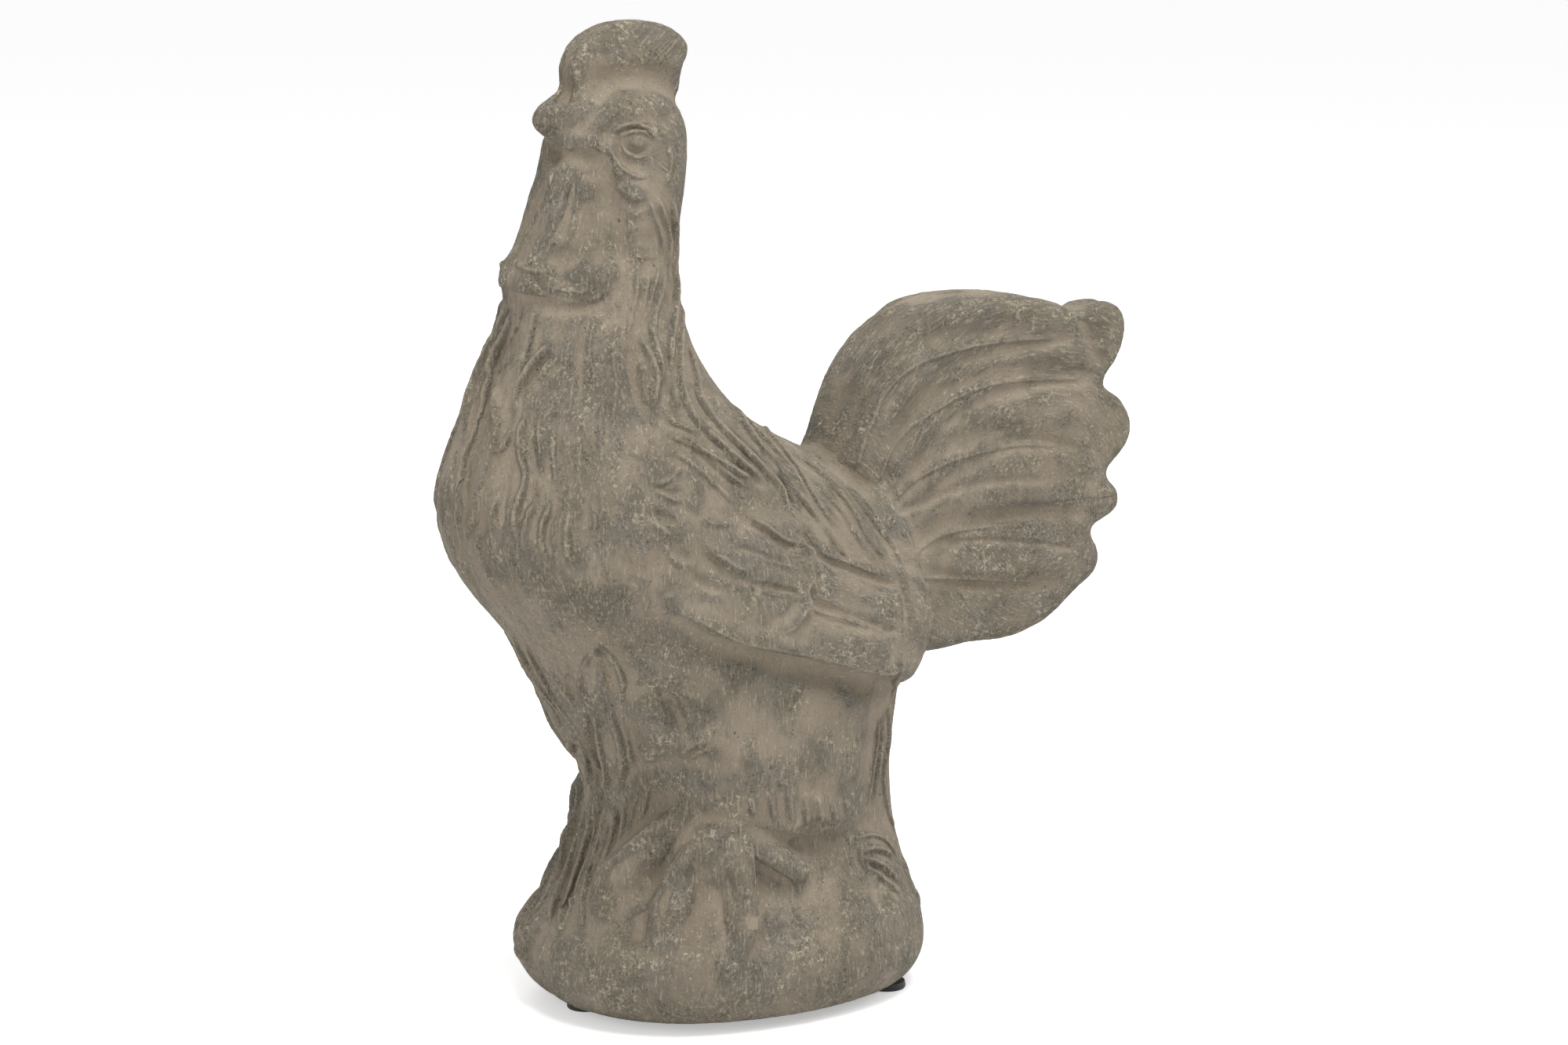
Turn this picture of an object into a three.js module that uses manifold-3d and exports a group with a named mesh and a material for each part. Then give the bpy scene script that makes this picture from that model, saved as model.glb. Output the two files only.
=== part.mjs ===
// Cement rooster figure that stands on rubber pads, in millimetres, +Z up.
// The bird faces -X and its left side faces -Y. The origin is on the ground, under the middle of its length.
// Two half castings meet on the middle plane. A strap, a floor plate and a tail rod hold them together.
import * as THREE from 'three';
import { mergeVertices } from 'three/addons/utils/BufferGeometryUtils.js';
import Module from 'manifold-3d';

const wasm = await Module();
wasm.setup();

// Main sizes of the castings: the rows, outlines and places below are drawn at them, and stretch with them.
const castingLength = 397;
const castingWidth = 180;
const castingHeight = 494;

// Clearances between pieces
const seatGap = 0.3;
const seamGap = 0.3;

// Castings
const wall = 13;
const hollowShoulder = 34;
const crownDepth = 69;
const hollowTop = castingHeight - crownDepth;

// Rubber pads, with the place of each under the castings
const padRadius = 10;
const padRise = 4;
const padEdgeRound = 1;
const padPlaces = { foot_front: [-86, 0], foot_left: [64, -47], foot_right: [64, 47] };

// Floor plate
const floorThickness = 12;
const floorInset = 12;
const floorLedge = 5;
const drainRadius = 6;
const drainX = -8;

// Seam strap
const strapWidth = 30;
const strapThickness = 3;

// Tail rod
const rodRadius = 3;

// How square the outlines of the trunk, the rump, the thighs and the wattles are: 2 is an ellipse
const trunkCorner = 2.3;
const rumpCorner = 1.5;
const thighCorner = 2.8;
const wattleCorner = 2;

// Heights over the castings' underside between which the rump sharpens, and the neck rounds again
const rumpBottom = 165;
const rumpTop = 230;
const neckBottom = 260;
const neckTop = 300;

// Tail
const tailThickness = 34;
const tailEdgeRound = 8;
const tailRootSwell = 1.55;
const tailRootX = 60;
const tailTipX = 190;
const grooveRadius = 4;
const grooveDepth = 2.5;

// Comb
const combThickness = 24;
const combEdgeRound = 7;

// Beak, eyes and ear lobes: the last two are sunk in the head by some depth.
const beakRadius = 17;
const eye = { radius: 6, depth: 3, sunk: 2 };
const earLobe = { halfLength: 18, halfWidth: 9, halfDepth: 6, sunk: 2 };

// Feathers of the hackle, folds of the skirt and grooves of the wing: the radius of the bar that makes each,
// and how far it stands out of the surface or cuts into it
const hackleRadius = 6;
const hackleRise = 3;
const skirtRadius = 4.5;
const skirtRise = 2.5;
const wingGrooveRadius = 3;
const wingGrooveDepth = 1.6;

// Wings: how far they stand proud, and the middle part of the trunk that they leave free
const wingRise = 8;
const wingInnerEdge = 40;
const wingReach = 150;

// Wattles
const wattleApart = 11;

// A plate's rounding reaches this share of its depth in from the outline.
const edgeReach = 0.6;

// Fineness of the rounded forms
const ringPoints = 36;
const ringsPerRow = 2;
const hollowPoints = 24;
const hollowRingsPerRow = 1;
const wattlePoints = 14;
const ballSegments = 12;
const ballRings = 8;
const outlineSegments = 2;
const edgeSegments = 2;
const grooveSides = 4;
const grooveSteps = 10;
const featherSides = 2;
const featherSteps = 8;
const rodSteps = 16;
const drainSides = 24;
const padSides = 20;

// The trunk, row by row: height over the castings' underside, foremost point, where it is widest, rearmost
// point and half-width there
const trunkRows = [
  { z: 0, front: -99, widest: -8, back: 85, half: 79 },
  { z: 5, front: -107, widest: -8, back: 92, half: 85 },
  { z: 17, front: -115, widest: -8, back: 99, half: 90 },
  { z: 34, front: -116, widest: -8, back: 98, half: 88 },
  { z: 56, front: -101, widest: -6, back: 91, half: 78 },
  { z: 78, front: -89, widest: -4, back: 86, half: 68 },
  { z: 98, front: -82, widest: -2, back: 84, half: 65 },
  { z: 118, front: -86, widest: -4, back: 84, half: 66 },
  { z: 138, front: -97, widest: -8, back: 86, half: 70 },
  { z: 158, front: -107, widest: -14, back: 89, half: 75 },
  { z: 178, front: -116, widest: -24, back: 100, half: 80 },
  { z: 198, front: -129, widest: -36, back: 114, half: 83 },
  { z: 218, front: -144, widest: -48, back: 116, half: 85 },
  { z: 238, front: -153, widest: -58, back: 108, half: 85 },
  { z: 258, front: -157, widest: -66, back: 80, half: 82 },
  { z: 278, front: -154, widest: -72, back: 36, half: 77 },
  { z: 298, front: -148, widest: -76, back: -3, half: 69 },
  { z: 318, front: -140, widest: -79, back: -22, half: 60 },
  { z: 338, front: -132, widest: -79, back: -33, half: 52 },
  { z: 358, front: -123, widest: -77, back: -37, half: 45 },
  { z: 378, front: -110, widest: -71, back: -37, half: 39 },
  { z: 398, front: -100, widest: -66, back: -35, half: 34 },
  { z: 418, front: -95, widest: -62, back: -31, half: 31 },
  { z: 438, front: -93, widest: -61, back: -30, half: 29 },
  { z: 450, front: -90, widest: -61, back: -34, half: 26 },
  { z: 461, front: -84, widest: -61, back: -41, half: 19 },
  { z: 467, front: -73, widest: -61, back: -50, half: 8 },
];

// A closed spline through points given as [x, height over the castings' underside]
const tailOutline = [
  [40, 190], [42, 252], [53, 280], [66, 308], [85, 332], [110, 346], [146, 350], [184, 344], [204, 337],
  [219, 341], [231, 338], [235, 325], [230, 309], [220, 296], [231, 290], [240, 274], [236, 260], [223, 248],
  [230, 241], [233, 231], [225, 223], [213, 218], [219, 208], [217, 195], [202, 184], [192, 175], [178, 167],
  [158, 163], [134, 164], [112, 162], [70, 164],
];

const tailGrooves = [
  [[72, 256], [88, 288], [108, 309], [142, 318], [196, 322]],
  [[88, 246], [108, 277], [142, 295], [176, 299], [212, 301]],
  [[98, 240], [122, 257], [156, 267], [188, 266], [208, 258]],
  [[112, 212], [132, 228], [160, 232], [206, 230]],
  [[118, 198], [150, 194], [192, 194]],
];

const combOutline = [
  [-92, 456], [-95, 470], [-91, 482], [-81, 490], [-68, 494], [-52, 494], [-39, 491], [-29, 484], [-26, 477],
  [-31, 467], [-35, 454], [-64, 448],
];

const wingOutline = [
  [-84, 214], [-82, 240], [-62, 260], [-30, 264], [10, 252], [52, 234], [84, 212], [96, 190], [88, 168],
  [70, 157], [40, 166], [0, 178], [-44, 192],
];

// The thighs' rows bulge over the trunk's below the wings and end in a ledge over the base.
const thighRows = [
  { z: 84, front: -44, widest: -10, back: 40, half: 60 },
  { z: 87, front: -56, widest: -10, back: 50, half: 68 },
  { z: 94, front: -64, widest: -10, back: 57, half: 73 },
  { z: 108, front: -70, widest: -10, back: 61, half: 76 },
  { z: 130, front: -80, widest: -10, back: 62, half: 78 },
  { z: 152, front: -90, widest: -16, back: 64, half: 78 },
  { z: 174, front: -98, widest: -22, back: 66, half: 77 },
  { z: 192, front: -96, widest: -26, back: 58, half: 70 },
];

// One wattle, which hangs beside the middle plane
const wattleRows = [
  { z: 356, front: -116, widest: -108, back: -98, half: 5 },
  { z: 360, front: -124, widest: -108, back: -92, half: 10 },
  { z: 368, front: -130, widest: -108, back: -86, half: 13 },
  { z: 380, front: -122, widest: -105, back: -84, half: 13 },
  { z: 396, front: -113, widest: -102, back: -84, half: 12 },
  { z: 414, front: -106, widest: -99, back: -84, half: 10 },
  { z: 432, front: -101, widest: -96, back: -84, half: 7 },
  { z: 440, front: -99, widest: -95, back: -86, half: 4 },
];

// Toes of the left foot, each from the ankle to its tip as [x, y, height], with its radius at each end
const toes = [
  { from: [-44, -40, 108], to: [-80, -30, 56], start: 19, end: 11 },
  { from: [-42, -46, 100], to: [-71, -58, 40], start: 17, end: 10 },
  { from: [-38, -56, 96], to: [-50, -80, 32], start: 19, end: 9 },
  { from: [-30, -58, 88], to: [-4, -70, 74], start: 14, end: 8 },
];

// The beak is a cone, turned about its middle line: its profile gives shares of the radius and of the length.
const beakTip = [-110, 446];
const beakBase = [-76, 450];
const beakProfile = [[0, 0], [0.3, 0.03], [0.5, 0.16], [0.75, 0.45], [1, 1], [0, 1]];

// Places on the trunk's left side are [height over the castings' underside, degrees round from the breast].
const eyePlace = [436, 82];
const earLobePlace = [393, 90];

// Feathers of the hackle, from the front of the breast round to the shoulder
const hackleFeathers = [
  [[354, -12], [330, -7], [304, -7], [276, 0], [246, 2]],
  [[362, 12], [338, 18], [316, 14], [292, 18], [268, 13], [244, 3]],
  [[362, 22], [336, 26], [312, 28], [286, 33], [260, 32], [236, 31]],
  [[314, 40], [290, 41], [262, 43], [234, 42]],
  [[300, 58], [280, 58], [252, 59], [236, 55]],
  [[346, 90], [332, 93], [318, 92], [304, 86]],
  [[284, 92], [276, 84], [277, 74], [270, 66]],
  [[376, 110], [350, 102], [326, 97], [308, 102], [284, 112], [260, 116]],
  [[338, 126], [312, 115], [288, 118], [256, 121]],
  [[316, 148], [298, 133], [272, 130], [246, 125]],
  [[272, 144], [256, 140], [236, 135], [218, 137]],
];

// Folds of the skirt over the base's front
const skirtFolds = [
  [[98, -9], [76, -10], [52, -13], [28, -18]],
  [[100, 0], [78, 1], [56, 4], [36, 10]],
  [[104, 8], [84, 9], [62, 12], [38, 20]],
  [[114, 17], [92, 17], [72, 17], [54, 18]],
  [[122, 36], [106, 29], [88, 23]],
];

// Grooves between the wing's feathers
const wingGrooves = [
  [[258, 102], [247, 110], [236, 117]],
  [[246, 86], [232, 92], [224, 100], [214, 111]],
  [[238, 117], [224, 123], [214, 130], [204, 139]],
  [[216, 109], [204, 113], [194, 121], [182, 134]],
];

// The tail rod's middle line as [x, height over the castings' underside], down the rear wall and up the tail
const rodRoute = [[79, 140], [87, 160], [97, 178], [112, 198], [136, 224], [164, 256], [196, 300]];

// How far the drawn places are stretched to reach the main sizes
const drawnFront = Math.min(...trunkRows.map((row) => row.front));
const drawnBack = Math.max(...tailOutline.map(([x]) => x));
const drawnHalf = Math.max(...trunkRows.map((row) => row.half));
const drawnTop = Math.max(...combOutline.map(([, z]) => z));
const stretch = {
  x: castingLength / (drawnBack - drawnFront),
  y: castingWidth / (2 * drawnHalf),
  z: castingHeight / drawnTop,
};

// A drawn place at full size, over the ground
function placed(x, y, z) {
  return new THREE.Vector3(x * stretch.x, y * stretch.y, padRise + z * stretch.z);
}

// A closed mesh becomes a solid once its shared corners are one.
function solid(geometry) {
  const bare = geometry.clone();
  bare.deleteAttribute('normal');
  bare.deleteAttribute('uv');
  const merged = mergeVertices(bare, 1e-4);
  return new wasm.Manifold(new wasm.Mesh({
    numProp: 3,
    vertProperties: new Float32Array(merged.attributes.position.array),
    triVerts: new Uint32Array(merged.index.array),
  }));
}

function joined(bodies) {
  return bodies.reduce((all, body) => all.add(body));
}

function toGeometry(body) {
  const mesh = body.getMesh();
  const geometry = new THREE.BufferGeometry();
  geometry.setAttribute('position', new THREE.BufferAttribute(new Float32Array(mesh.vertProperties), 3));
  geometry.setIndex(new THREE.BufferAttribute(new Uint32Array(mesh.triVerts), 1));
  return geometry;
}

// Rings of equal count, from low to high, each turning counterclockwise seen from above
function loft(rings) {
  const count = rings[0].length;
  const positions = [];
  const faces = [];
  rings.forEach((ring) => ring.forEach((p) => positions.push(p.x, p.y, p.z)));
  for (let r = 0; r + 1 < rings.length; r += 1) {
    for (let i = 0; i < count; i += 1) {
      const a = r * count + i;
      const b = r * count + (i + 1) % count;
      faces.push(a, b, b + count, a, b + count, a + count);
    }
  }
  const bottom = positions.length / 3;
  const top = bottom + 1;
  [rings[0], rings[rings.length - 1]].forEach((ring) => {
    const middle = ring.reduce((sum, p) => sum.add(p), new THREE.Vector3()).divideScalar(count);
    positions.push(middle.x, middle.y, middle.z);
  });
  const lastRing = (rings.length - 1) * count;
  for (let i = 0; i < count; i += 1) {
    const next = (i + 1) % count;
    faces.push(bottom, next, i, top, lastRing + i, lastRing + next);
  }
  const geometry = new THREE.BufferGeometry();
  geometry.setAttribute('position', new THREE.Float32BufferAttribute(positions, 3));
  geometry.setIndex(faces);
  return geometry;
}

function smoothThrough(points) {
  return new THREE.CatmullRomCurve3(points, false, 'catmullrom');
}

// Evenly spaced steps along a body's rows, by smooth curves through them
function stations(rows, perRow = ringsPerRow) {
  const ends = smoothThrough(rows.map((row) => new THREE.Vector3(row.z, row.front, row.back)));
  const girth = smoothThrough(rows.map((row) => new THREE.Vector3(row.z, row.widest, row.half)));
  const steps = (rows.length - 1) * perRow;
  return Array.from({ length: steps + 1 }, (_, step) => {
    const end = ends.getPoint(step / steps);
    const wide = girth.getPoint(step / steps);
    return {
      z: end.x * stretch.z,
      front: end.y * stretch.x,
      back: end.z * stretch.x,
      widest: wide.y * stretch.x,
      half: wide.z * stretch.y,
    };
  });
}

// A place on a row's outline, which is two half superellipses that meet where the row is widest
function outlinePlace(row, angle, { inset = 0, corner = trunkCorner, rearCorner = corner, sideways = 0 }) {
  const power = 2 / (Math.cos(angle) < 0 ? corner : rearCorner);
  const along = Math.sign(Math.cos(angle)) * Math.abs(Math.cos(angle)) ** power;
  const across = Math.sign(Math.sin(angle)) * Math.abs(Math.sin(angle)) ** power;
  const reach = (along < 0 ? row.widest - row.front : row.back - row.widest) - inset;
  const side = sideways + (row.half - inset) * across;
  return new THREE.Vector3(row.widest + reach * along, side, padRise + row.z);
}

function ring(row, options) {
  const { points = ringPoints } = options;
  return Array.from({ length: points }, (_, i) => outlinePlace(row, 2 * Math.PI * i / points, options));
}

// The rump tapers to the tail, so its rows are sharper behind.
function rumpSharpness(z) {
  const rise = THREE.MathUtils.smoothstep(z, rumpBottom, rumpTop);
  const fall = THREE.MathUtils.smoothstep(z, neckBottom, neckTop);
  return THREE.MathUtils.lerp(trunkCorner, rumpCorner, rise * (1 - fall));
}

function trunk(insetAt) {
  return solid(loft(stations(trunkRows).map(
    (row) => ring(row, { inset: insetAt(row.z), rearCorner: rumpSharpness(row.z) }))));
}

function thighs() {
  return solid(loft(stations(thighRows).map((row) => ring(row, { corner: thighCorner }))));
}

function wattle() {
  const shape = { corner: wattleCorner, points: wattlePoints, sideways: -wattleApart };
  return solid(loft(stations(wattleRows).map((row) => ring(row, shape))));
}

// A flat outline in the bird's side view, as a plate of the given thickness about the middle plane
function plate(outline, thickness, round) {
  const points = outline.map(([x, z]) => placed(x, 0, z)).map((place) => new THREE.Vector2(place.x, place.z));
  const shape = new THREE.Shape();
  shape.moveTo(points[0].x, points[0].y);
  shape.splineThru([...points.slice(1), points[0]]);
  const depth = thickness - 2 * round;
  const geometry = new THREE.ExtrudeGeometry(shape, {
    depth,
    curveSegments: outlineSegments,
    bevelEnabled: round > 0,
    bevelThickness: round,
    bevelSize: edgeReach * round,
    bevelOffset: -edgeReach * round,
    bevelSegments: edgeSegments,
  });
  geometry.translate(0, 0, -depth / 2);
  geometry.rotateX(Math.PI / 2);
  return geometry;
}

// The bird's two sides are alike.
function mirrored(body) {
  return body.add(body.mirror([0, 1, 0]));
}

function ellipsoid(radii, place) {
  const geometry = new THREE.SphereGeometry(1, ballSegments, ballRings);
  geometry.scale(...radii);
  geometry.translate(...place.toArray());
  return solid(geometry);
}

// The trunk's row at a real height, between its neighbours
function trunkRowAt(z, perRow = ringsPerRow) {
  const rows = stations(trunkRows, perRow);
  const next = THREE.MathUtils.clamp(rows.filter((row) => row.z < z).length, 1, rows.length - 1);
  const [low, high] = [rows[next - 1], rows[next]];
  const share = (z - low.z) / (high.z - low.z);
  const between = (key) => [key, THREE.MathUtils.lerp(low[key], high[key], share)];
  return Object.fromEntries(Object.keys(low).map(between));
}

// A place on the left side of the trunk, moved inwards by some depth
function onTrunk([z, turn], inset) {
  const row = trunkRowAt(z * stretch.z);
  const angle = Math.PI + THREE.MathUtils.degToRad(turn);
  return outlinePlace(row, angle, { inset, rearCorner: rumpSharpness(row.z) });
}

// A round bar along the trunk, at some depth at each of its places, whose two ends dive under the surface
function feather(places, radius, depthAt) {
  const last = places.length - 1;
  const path = smoothThrough(places.map(
    (place, i) => onTrunk(place, i === 0 || i === last ? radius + seatGap : depthAt(place))));
  const section = new THREE.Shape().absarc(0, 0, radius, 0, 2 * Math.PI);
  return solid(new THREE.ExtrudeGeometry(
    section, { steps: featherSteps, curveSegments: featherSides, extrudePath: path }));
}

function raised(lines, radius, rise) {
  return mirrored(joined(lines.map((places) => feather(places, radius, () => radius - rise))));
}

// The tail thickens from its rear edge towards the body.
function tailSwell(x) {
  return THREE.MathUtils.lerp(tailRootSwell, 1, THREE.MathUtils.smoothstep(x, tailRootX, tailTipX));
}

function tail() {
  const geometry = plate(tailOutline, tailThickness, tailEdgeRound);
  const position = geometry.attributes.position;
  for (let i = 0; i < position.count; i += 1) {
    position.setY(i, position.getY(i) * tailSwell(position.getX(i)));
  }
  return tailGrooves.reduce((body, points) => body.subtract(mirrored(groove(points))), solid(geometry));
}

function groove(points) {
  const path = smoothThrough(points.map(([x, z]) => {
    const place = placed(x, 0, z);
    const side = tailThickness / 2 * tailSwell(place.x) + grooveRadius - grooveDepth;
    return place.setY(-side);
  }));
  const section = new THREE.Shape().absarc(0, 0, grooveRadius, 0, 2 * Math.PI);
  return solid(new THREE.ExtrudeGeometry(
    section, { steps: grooveSteps, curveSegments: grooveSides, extrudePath: path }));
}

function comb() {
  return solid(plate(combOutline, combThickness, combEdgeRound));
}

function beakSolid() {
  const tip = placed(beakTip[0], 0, beakTip[1]);
  const base = placed(beakBase[0], 0, beakBase[1]);
  const length = tip.distanceTo(base);
  const geometry = new THREE.LatheGeometry(
    beakProfile.map(([r, t]) => new THREE.Vector2(r * beakRadius, t * length)), ballSegments);
  geometry.rotateZ(-Math.PI / 2);
  geometry.rotateY(Math.atan2(tip.z - base.z, base.x - tip.x));
  geometry.translate(...tip.toArray());
  return solid(geometry);
}

function headParts() {
  const lobe = ellipsoid(
    [earLobe.halfWidth, earLobe.halfDepth, earLobe.halfLength], onTrunk(earLobePlace, earLobe.sunk));
  const ball = ellipsoid([eye.radius, eye.depth, eye.radius], onTrunk(eyePlace, eye.sunk));
  return beakSolid().add(mirrored(lobe.add(ball).add(wattle())));
}

// The wing stands proud at its lower edge and runs out into the back.
function wingRiseAt(z) {
  const heights = wingOutline.map(([, height]) => height * stretch.z);
  return wingRise * (1 - THREE.MathUtils.smoothstep(z, Math.min(...heights), Math.max(...heights)));
}

function wings() {
  const outer = trunk((z) => -wingRiseAt(z));
  const sides = solid(plate(wingOutline, 2 * wingReach, 0));
  const middle = solid(plate(wingOutline, 2 * wingInnerEdge, 0));
  return outer.intersect(sides.subtract(middle));
}

// The grooves' bars lie over the wing's face, and their lower part cuts into it.
function wingCuts() {
  const overFace = wingGrooveRadius - wingGrooveDepth;
  const cuts = wingGrooves.map(
    (places) => feather(places, wingGrooveRadius, ([z]) => -wingRiseAt(z * stretch.z) - overFace));
  return mirrored(joined(cuts));
}

// A toe tapers from the ankle to a ball at its tip.
function toe({ from, to, start, end }) {
  const a = placed(...from);
  const b = placed(...to);
  const length = a.distanceTo(b);
  const geometry = new THREE.CylinderGeometry(end, start, length, ballSegments);
  geometry.translate(0, length / 2, 0);
  geometry.applyQuaternion(new THREE.Quaternion().setFromUnitVectors(
    new THREE.Vector3(0, 1, 0), b.clone().sub(a).normalize()));
  geometry.translate(...a.toArray());
  return solid(geometry).add(ellipsoid([end, end, end], b));
}

function figure() {
  const feet = mirrored(joined(toes.map(toe)));
  const winged = trunk(() => 0).add(wings()).subtract(wingCuts());
  const hackle = raised(hackleFeathers, hackleRadius, hackleRise);
  const skirt = raised(skirtFolds, skirtRadius, skirtRise);
  return joined([winged, hackle, skirt, tail(), comb(), headParts(), thighs(), feet]);
}

function box(low, high) {
  const geometry = new THREE.BoxGeometry(high[0] - low[0], high[1] - low[1], high[2] - low[2]);
  geometry.translate((low[0] + high[0]) / 2, (low[1] + high[1]) / 2, (low[2] + high[2]) / 2);
  return solid(geometry);
}

// Above the floor plate's ledge the hollow follows the trunk at the wall's depth, and lies further in for the
// strap's two faces.
function hollow(extra, top, deepen = 0) {
  const rows = stations(trunkRows, hollowRingsPerRow);
  const between = rows.filter((row) => row.z > hollowShoulder && row.z < top);
  const first = { ...trunkRowAt(hollowShoulder, hollowRingsPerRow), z: hollowShoulder - deepen };
  const last = trunkRowAt(top, hollowRingsPerRow);
  return solid(loft([first, ...between, last].map((row) => ring(
    row, { inset: wall + extra, rearCorner: rumpSharpness(row.z), points: hollowPoints }))));
}

// The floor's outline, moved in by some depth, between two heights over the castings' underside
function floorBlock(inset, low, high) {
  const underside = stations(trunkRows)[0];
  return solid(loft([low, high].map((z) => ring({ ...underside, z }, { inset }))));
}

// From the floor plate's ledge the hollow widens to the wall's depth.
function hollowMouth() {
  const shape = { points: hollowPoints };
  return solid(loft([
    ring({ ...stations(trunkRows)[0], z: floorThickness }, { ...shape, inset: floorInset + floorLedge }),
    ring(trunkRowAt(hollowShoulder, hollowRingsPerRow), { ...shape, inset: wall }),
  ]));
}

// The tail rod, or with a greater radius and length the channel that it lies in
function rod(radius, lengthen) {
  const points = rodRoute.map(([x, z]) => placed(x, 0, z));
  const first = points[0].clone().sub(points[1]).setLength(lengthen);
  const last = points[points.length - 1].clone().sub(points[points.length - 2]).setLength(lengthen);
  points[0].add(first);
  points[points.length - 1].add(last);
  const section = new THREE.Shape().absarc(0, 0, radius, 0, 2 * Math.PI);
  return new THREE.ExtrudeGeometry(section, {
    steps: rodSteps,
    curveSegments: grooveSides,
    bevelEnabled: false,
    extrudePath: smoothThrough(points),
  });
}

// Both halves of the figure, hollowed out, with the middle of its length
function castings() {
  const pocket = floorBlock(floorInset, -padRise, floorThickness + seatGap);
  const body = figure().subtract(hollow(0, hollowTop)).subtract(hollowMouth()).subtract(pocket)
    .subtract(solid(rod(rodRadius + seatGap, seatGap)));
  const { min, max } = body.boundingBox();
  return {
    left: body.intersect(box(min, [max[0], -seamGap / 2, max[2]])),
    right: body.intersect(box([min[0], seamGap / 2, min[2]], max)),
    middleX: (min[0] + max[0]) / 2,
  };
}

function floorPlate() {
  const drain = new THREE.CylinderGeometry(drainRadius, drainRadius, 2 * floorThickness, drainSides);
  drain.rotateX(Math.PI / 2);
  drain.translate(drainX, 0, padRise + floorThickness / 2);
  return floorBlock(floorInset + seatGap, 0, floorThickness).subtract(solid(drain));
}

// The strap lines the hollow across the joint, up the front, over the top and down the back.
function seamStrap() {
  const outer = hollow(seatGap, hollowTop - seatGap);
  const inner = hollow(seatGap + strapThickness, hollowTop - seatGap - strapThickness, strapThickness);
  const { min, max } = outer.boundingBox();
  const slab = box([min[0], -strapWidth / 2, min[2]], [max[0], strapWidth / 2, max[2]]);
  return outer.subtract(inner).intersect(slab);
}

// A pad with a rounded lower edge, glued on under the castings
function pad() {
  const height = padRise - seatGap;
  const profile = new THREE.Path();
  profile.moveTo(0, 0);
  profile.lineTo(padRadius - padEdgeRound, 0);
  profile.absarc(padRadius - padEdgeRound, padEdgeRound, padEdgeRound, -Math.PI / 2, 0, false);
  profile.lineTo(padRadius, height);
  profile.lineTo(0, height);
  const geometry = new THREE.LatheGeometry(profile.getPoints(edgeSegments), padSides);
  geometry.rotateX(Math.PI / 2);
  return geometry;
}

// Finishes
const cement = { color: 0x857c6d, roughness: 0.95, metalness: 0 };
const rubber = { color: 0x141210, roughness: 0.7, metalness: 0 };
const steel = { color: 0x6b6a68, roughness: 0.5, metalness: 1 };

const group = new THREE.Group();

function piece(name, geometry, finish, [x, y, z] = [0, 0, 0]) {
  const mesh = new THREE.Mesh(geometry, new THREE.MeshStandardMaterial(finish));
  mesh.name = name;
  mesh.position.set(x, y, z);
  group.add(mesh);
}

const { left, right, middleX } = castings();
piece('left_shell', toGeometry(left), cement);
piece('right_shell', toGeometry(right), cement);
piece('floor_plate', toGeometry(floorPlate()), cement);
piece('seam_strap', toGeometry(seamStrap()), cement);
piece('tail_rod', rod(rodRadius, 0), steel);
Object.entries(padPlaces).forEach(([name, [x, y]]) => {
  piece(name, pad(), rubber, [x * stretch.x, y * stretch.y, 0]);
});
group.position.x = -middleX;

export default group;
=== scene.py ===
# Looks of the cement rooster figure, in metres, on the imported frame.
# The bird faces -X and its left side faces -Y. Widths, heights and depths of strokes are in millimetres.
import math

import bmesh
import bpy
import numpy as np
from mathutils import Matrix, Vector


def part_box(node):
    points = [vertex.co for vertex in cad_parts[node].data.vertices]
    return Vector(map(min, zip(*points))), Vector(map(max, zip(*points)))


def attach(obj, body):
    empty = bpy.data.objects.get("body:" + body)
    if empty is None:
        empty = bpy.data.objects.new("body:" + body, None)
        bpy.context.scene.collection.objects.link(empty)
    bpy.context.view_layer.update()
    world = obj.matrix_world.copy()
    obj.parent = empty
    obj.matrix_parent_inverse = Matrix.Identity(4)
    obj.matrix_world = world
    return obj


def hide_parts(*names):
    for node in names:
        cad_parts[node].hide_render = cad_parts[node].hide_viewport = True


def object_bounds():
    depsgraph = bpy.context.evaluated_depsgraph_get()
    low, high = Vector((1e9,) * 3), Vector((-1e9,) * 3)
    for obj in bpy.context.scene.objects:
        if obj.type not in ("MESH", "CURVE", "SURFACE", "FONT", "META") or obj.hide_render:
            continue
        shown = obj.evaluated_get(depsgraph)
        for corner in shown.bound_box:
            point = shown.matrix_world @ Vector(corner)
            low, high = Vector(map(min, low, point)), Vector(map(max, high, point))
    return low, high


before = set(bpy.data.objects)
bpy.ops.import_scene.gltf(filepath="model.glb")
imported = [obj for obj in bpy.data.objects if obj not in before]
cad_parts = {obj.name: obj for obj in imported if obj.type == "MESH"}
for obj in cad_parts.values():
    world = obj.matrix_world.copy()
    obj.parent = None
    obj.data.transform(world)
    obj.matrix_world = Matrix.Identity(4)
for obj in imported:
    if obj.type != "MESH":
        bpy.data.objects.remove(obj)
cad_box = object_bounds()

import openvdb
from mathutils import Vector
from mathutils.bvhtree import BVHTree

MM = 0.001

# The photograph's frame in pixels, and the camera that took it
PHOTO_WIDTH = 2000
PHOTO_HEIGHT = 1333
SENSOR_MM = 36
LENS_MM = 85
CAMERA_AZIMUTH = -30
CAMERA_ELEVATION = 10
CAMERA_DISTANCE = 1.90
TARGET_BEHIND_BREAST = 0.1875
TARGET_HEIGHT = 0.24

# Fineness of the cement's mesh, and how far it is smoothed before it is carved
VOXEL = 1.2 * MM
BAND_VOXELS = 9
SMOOTHING = 2.6 * MM

# Faces are split once more where they turn to the camera by at least this much.
FINE_FACING = -0.15

# Strokes' heights are read off as they seem, and the soft light needs more.
RELIEF = 1.3

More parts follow.
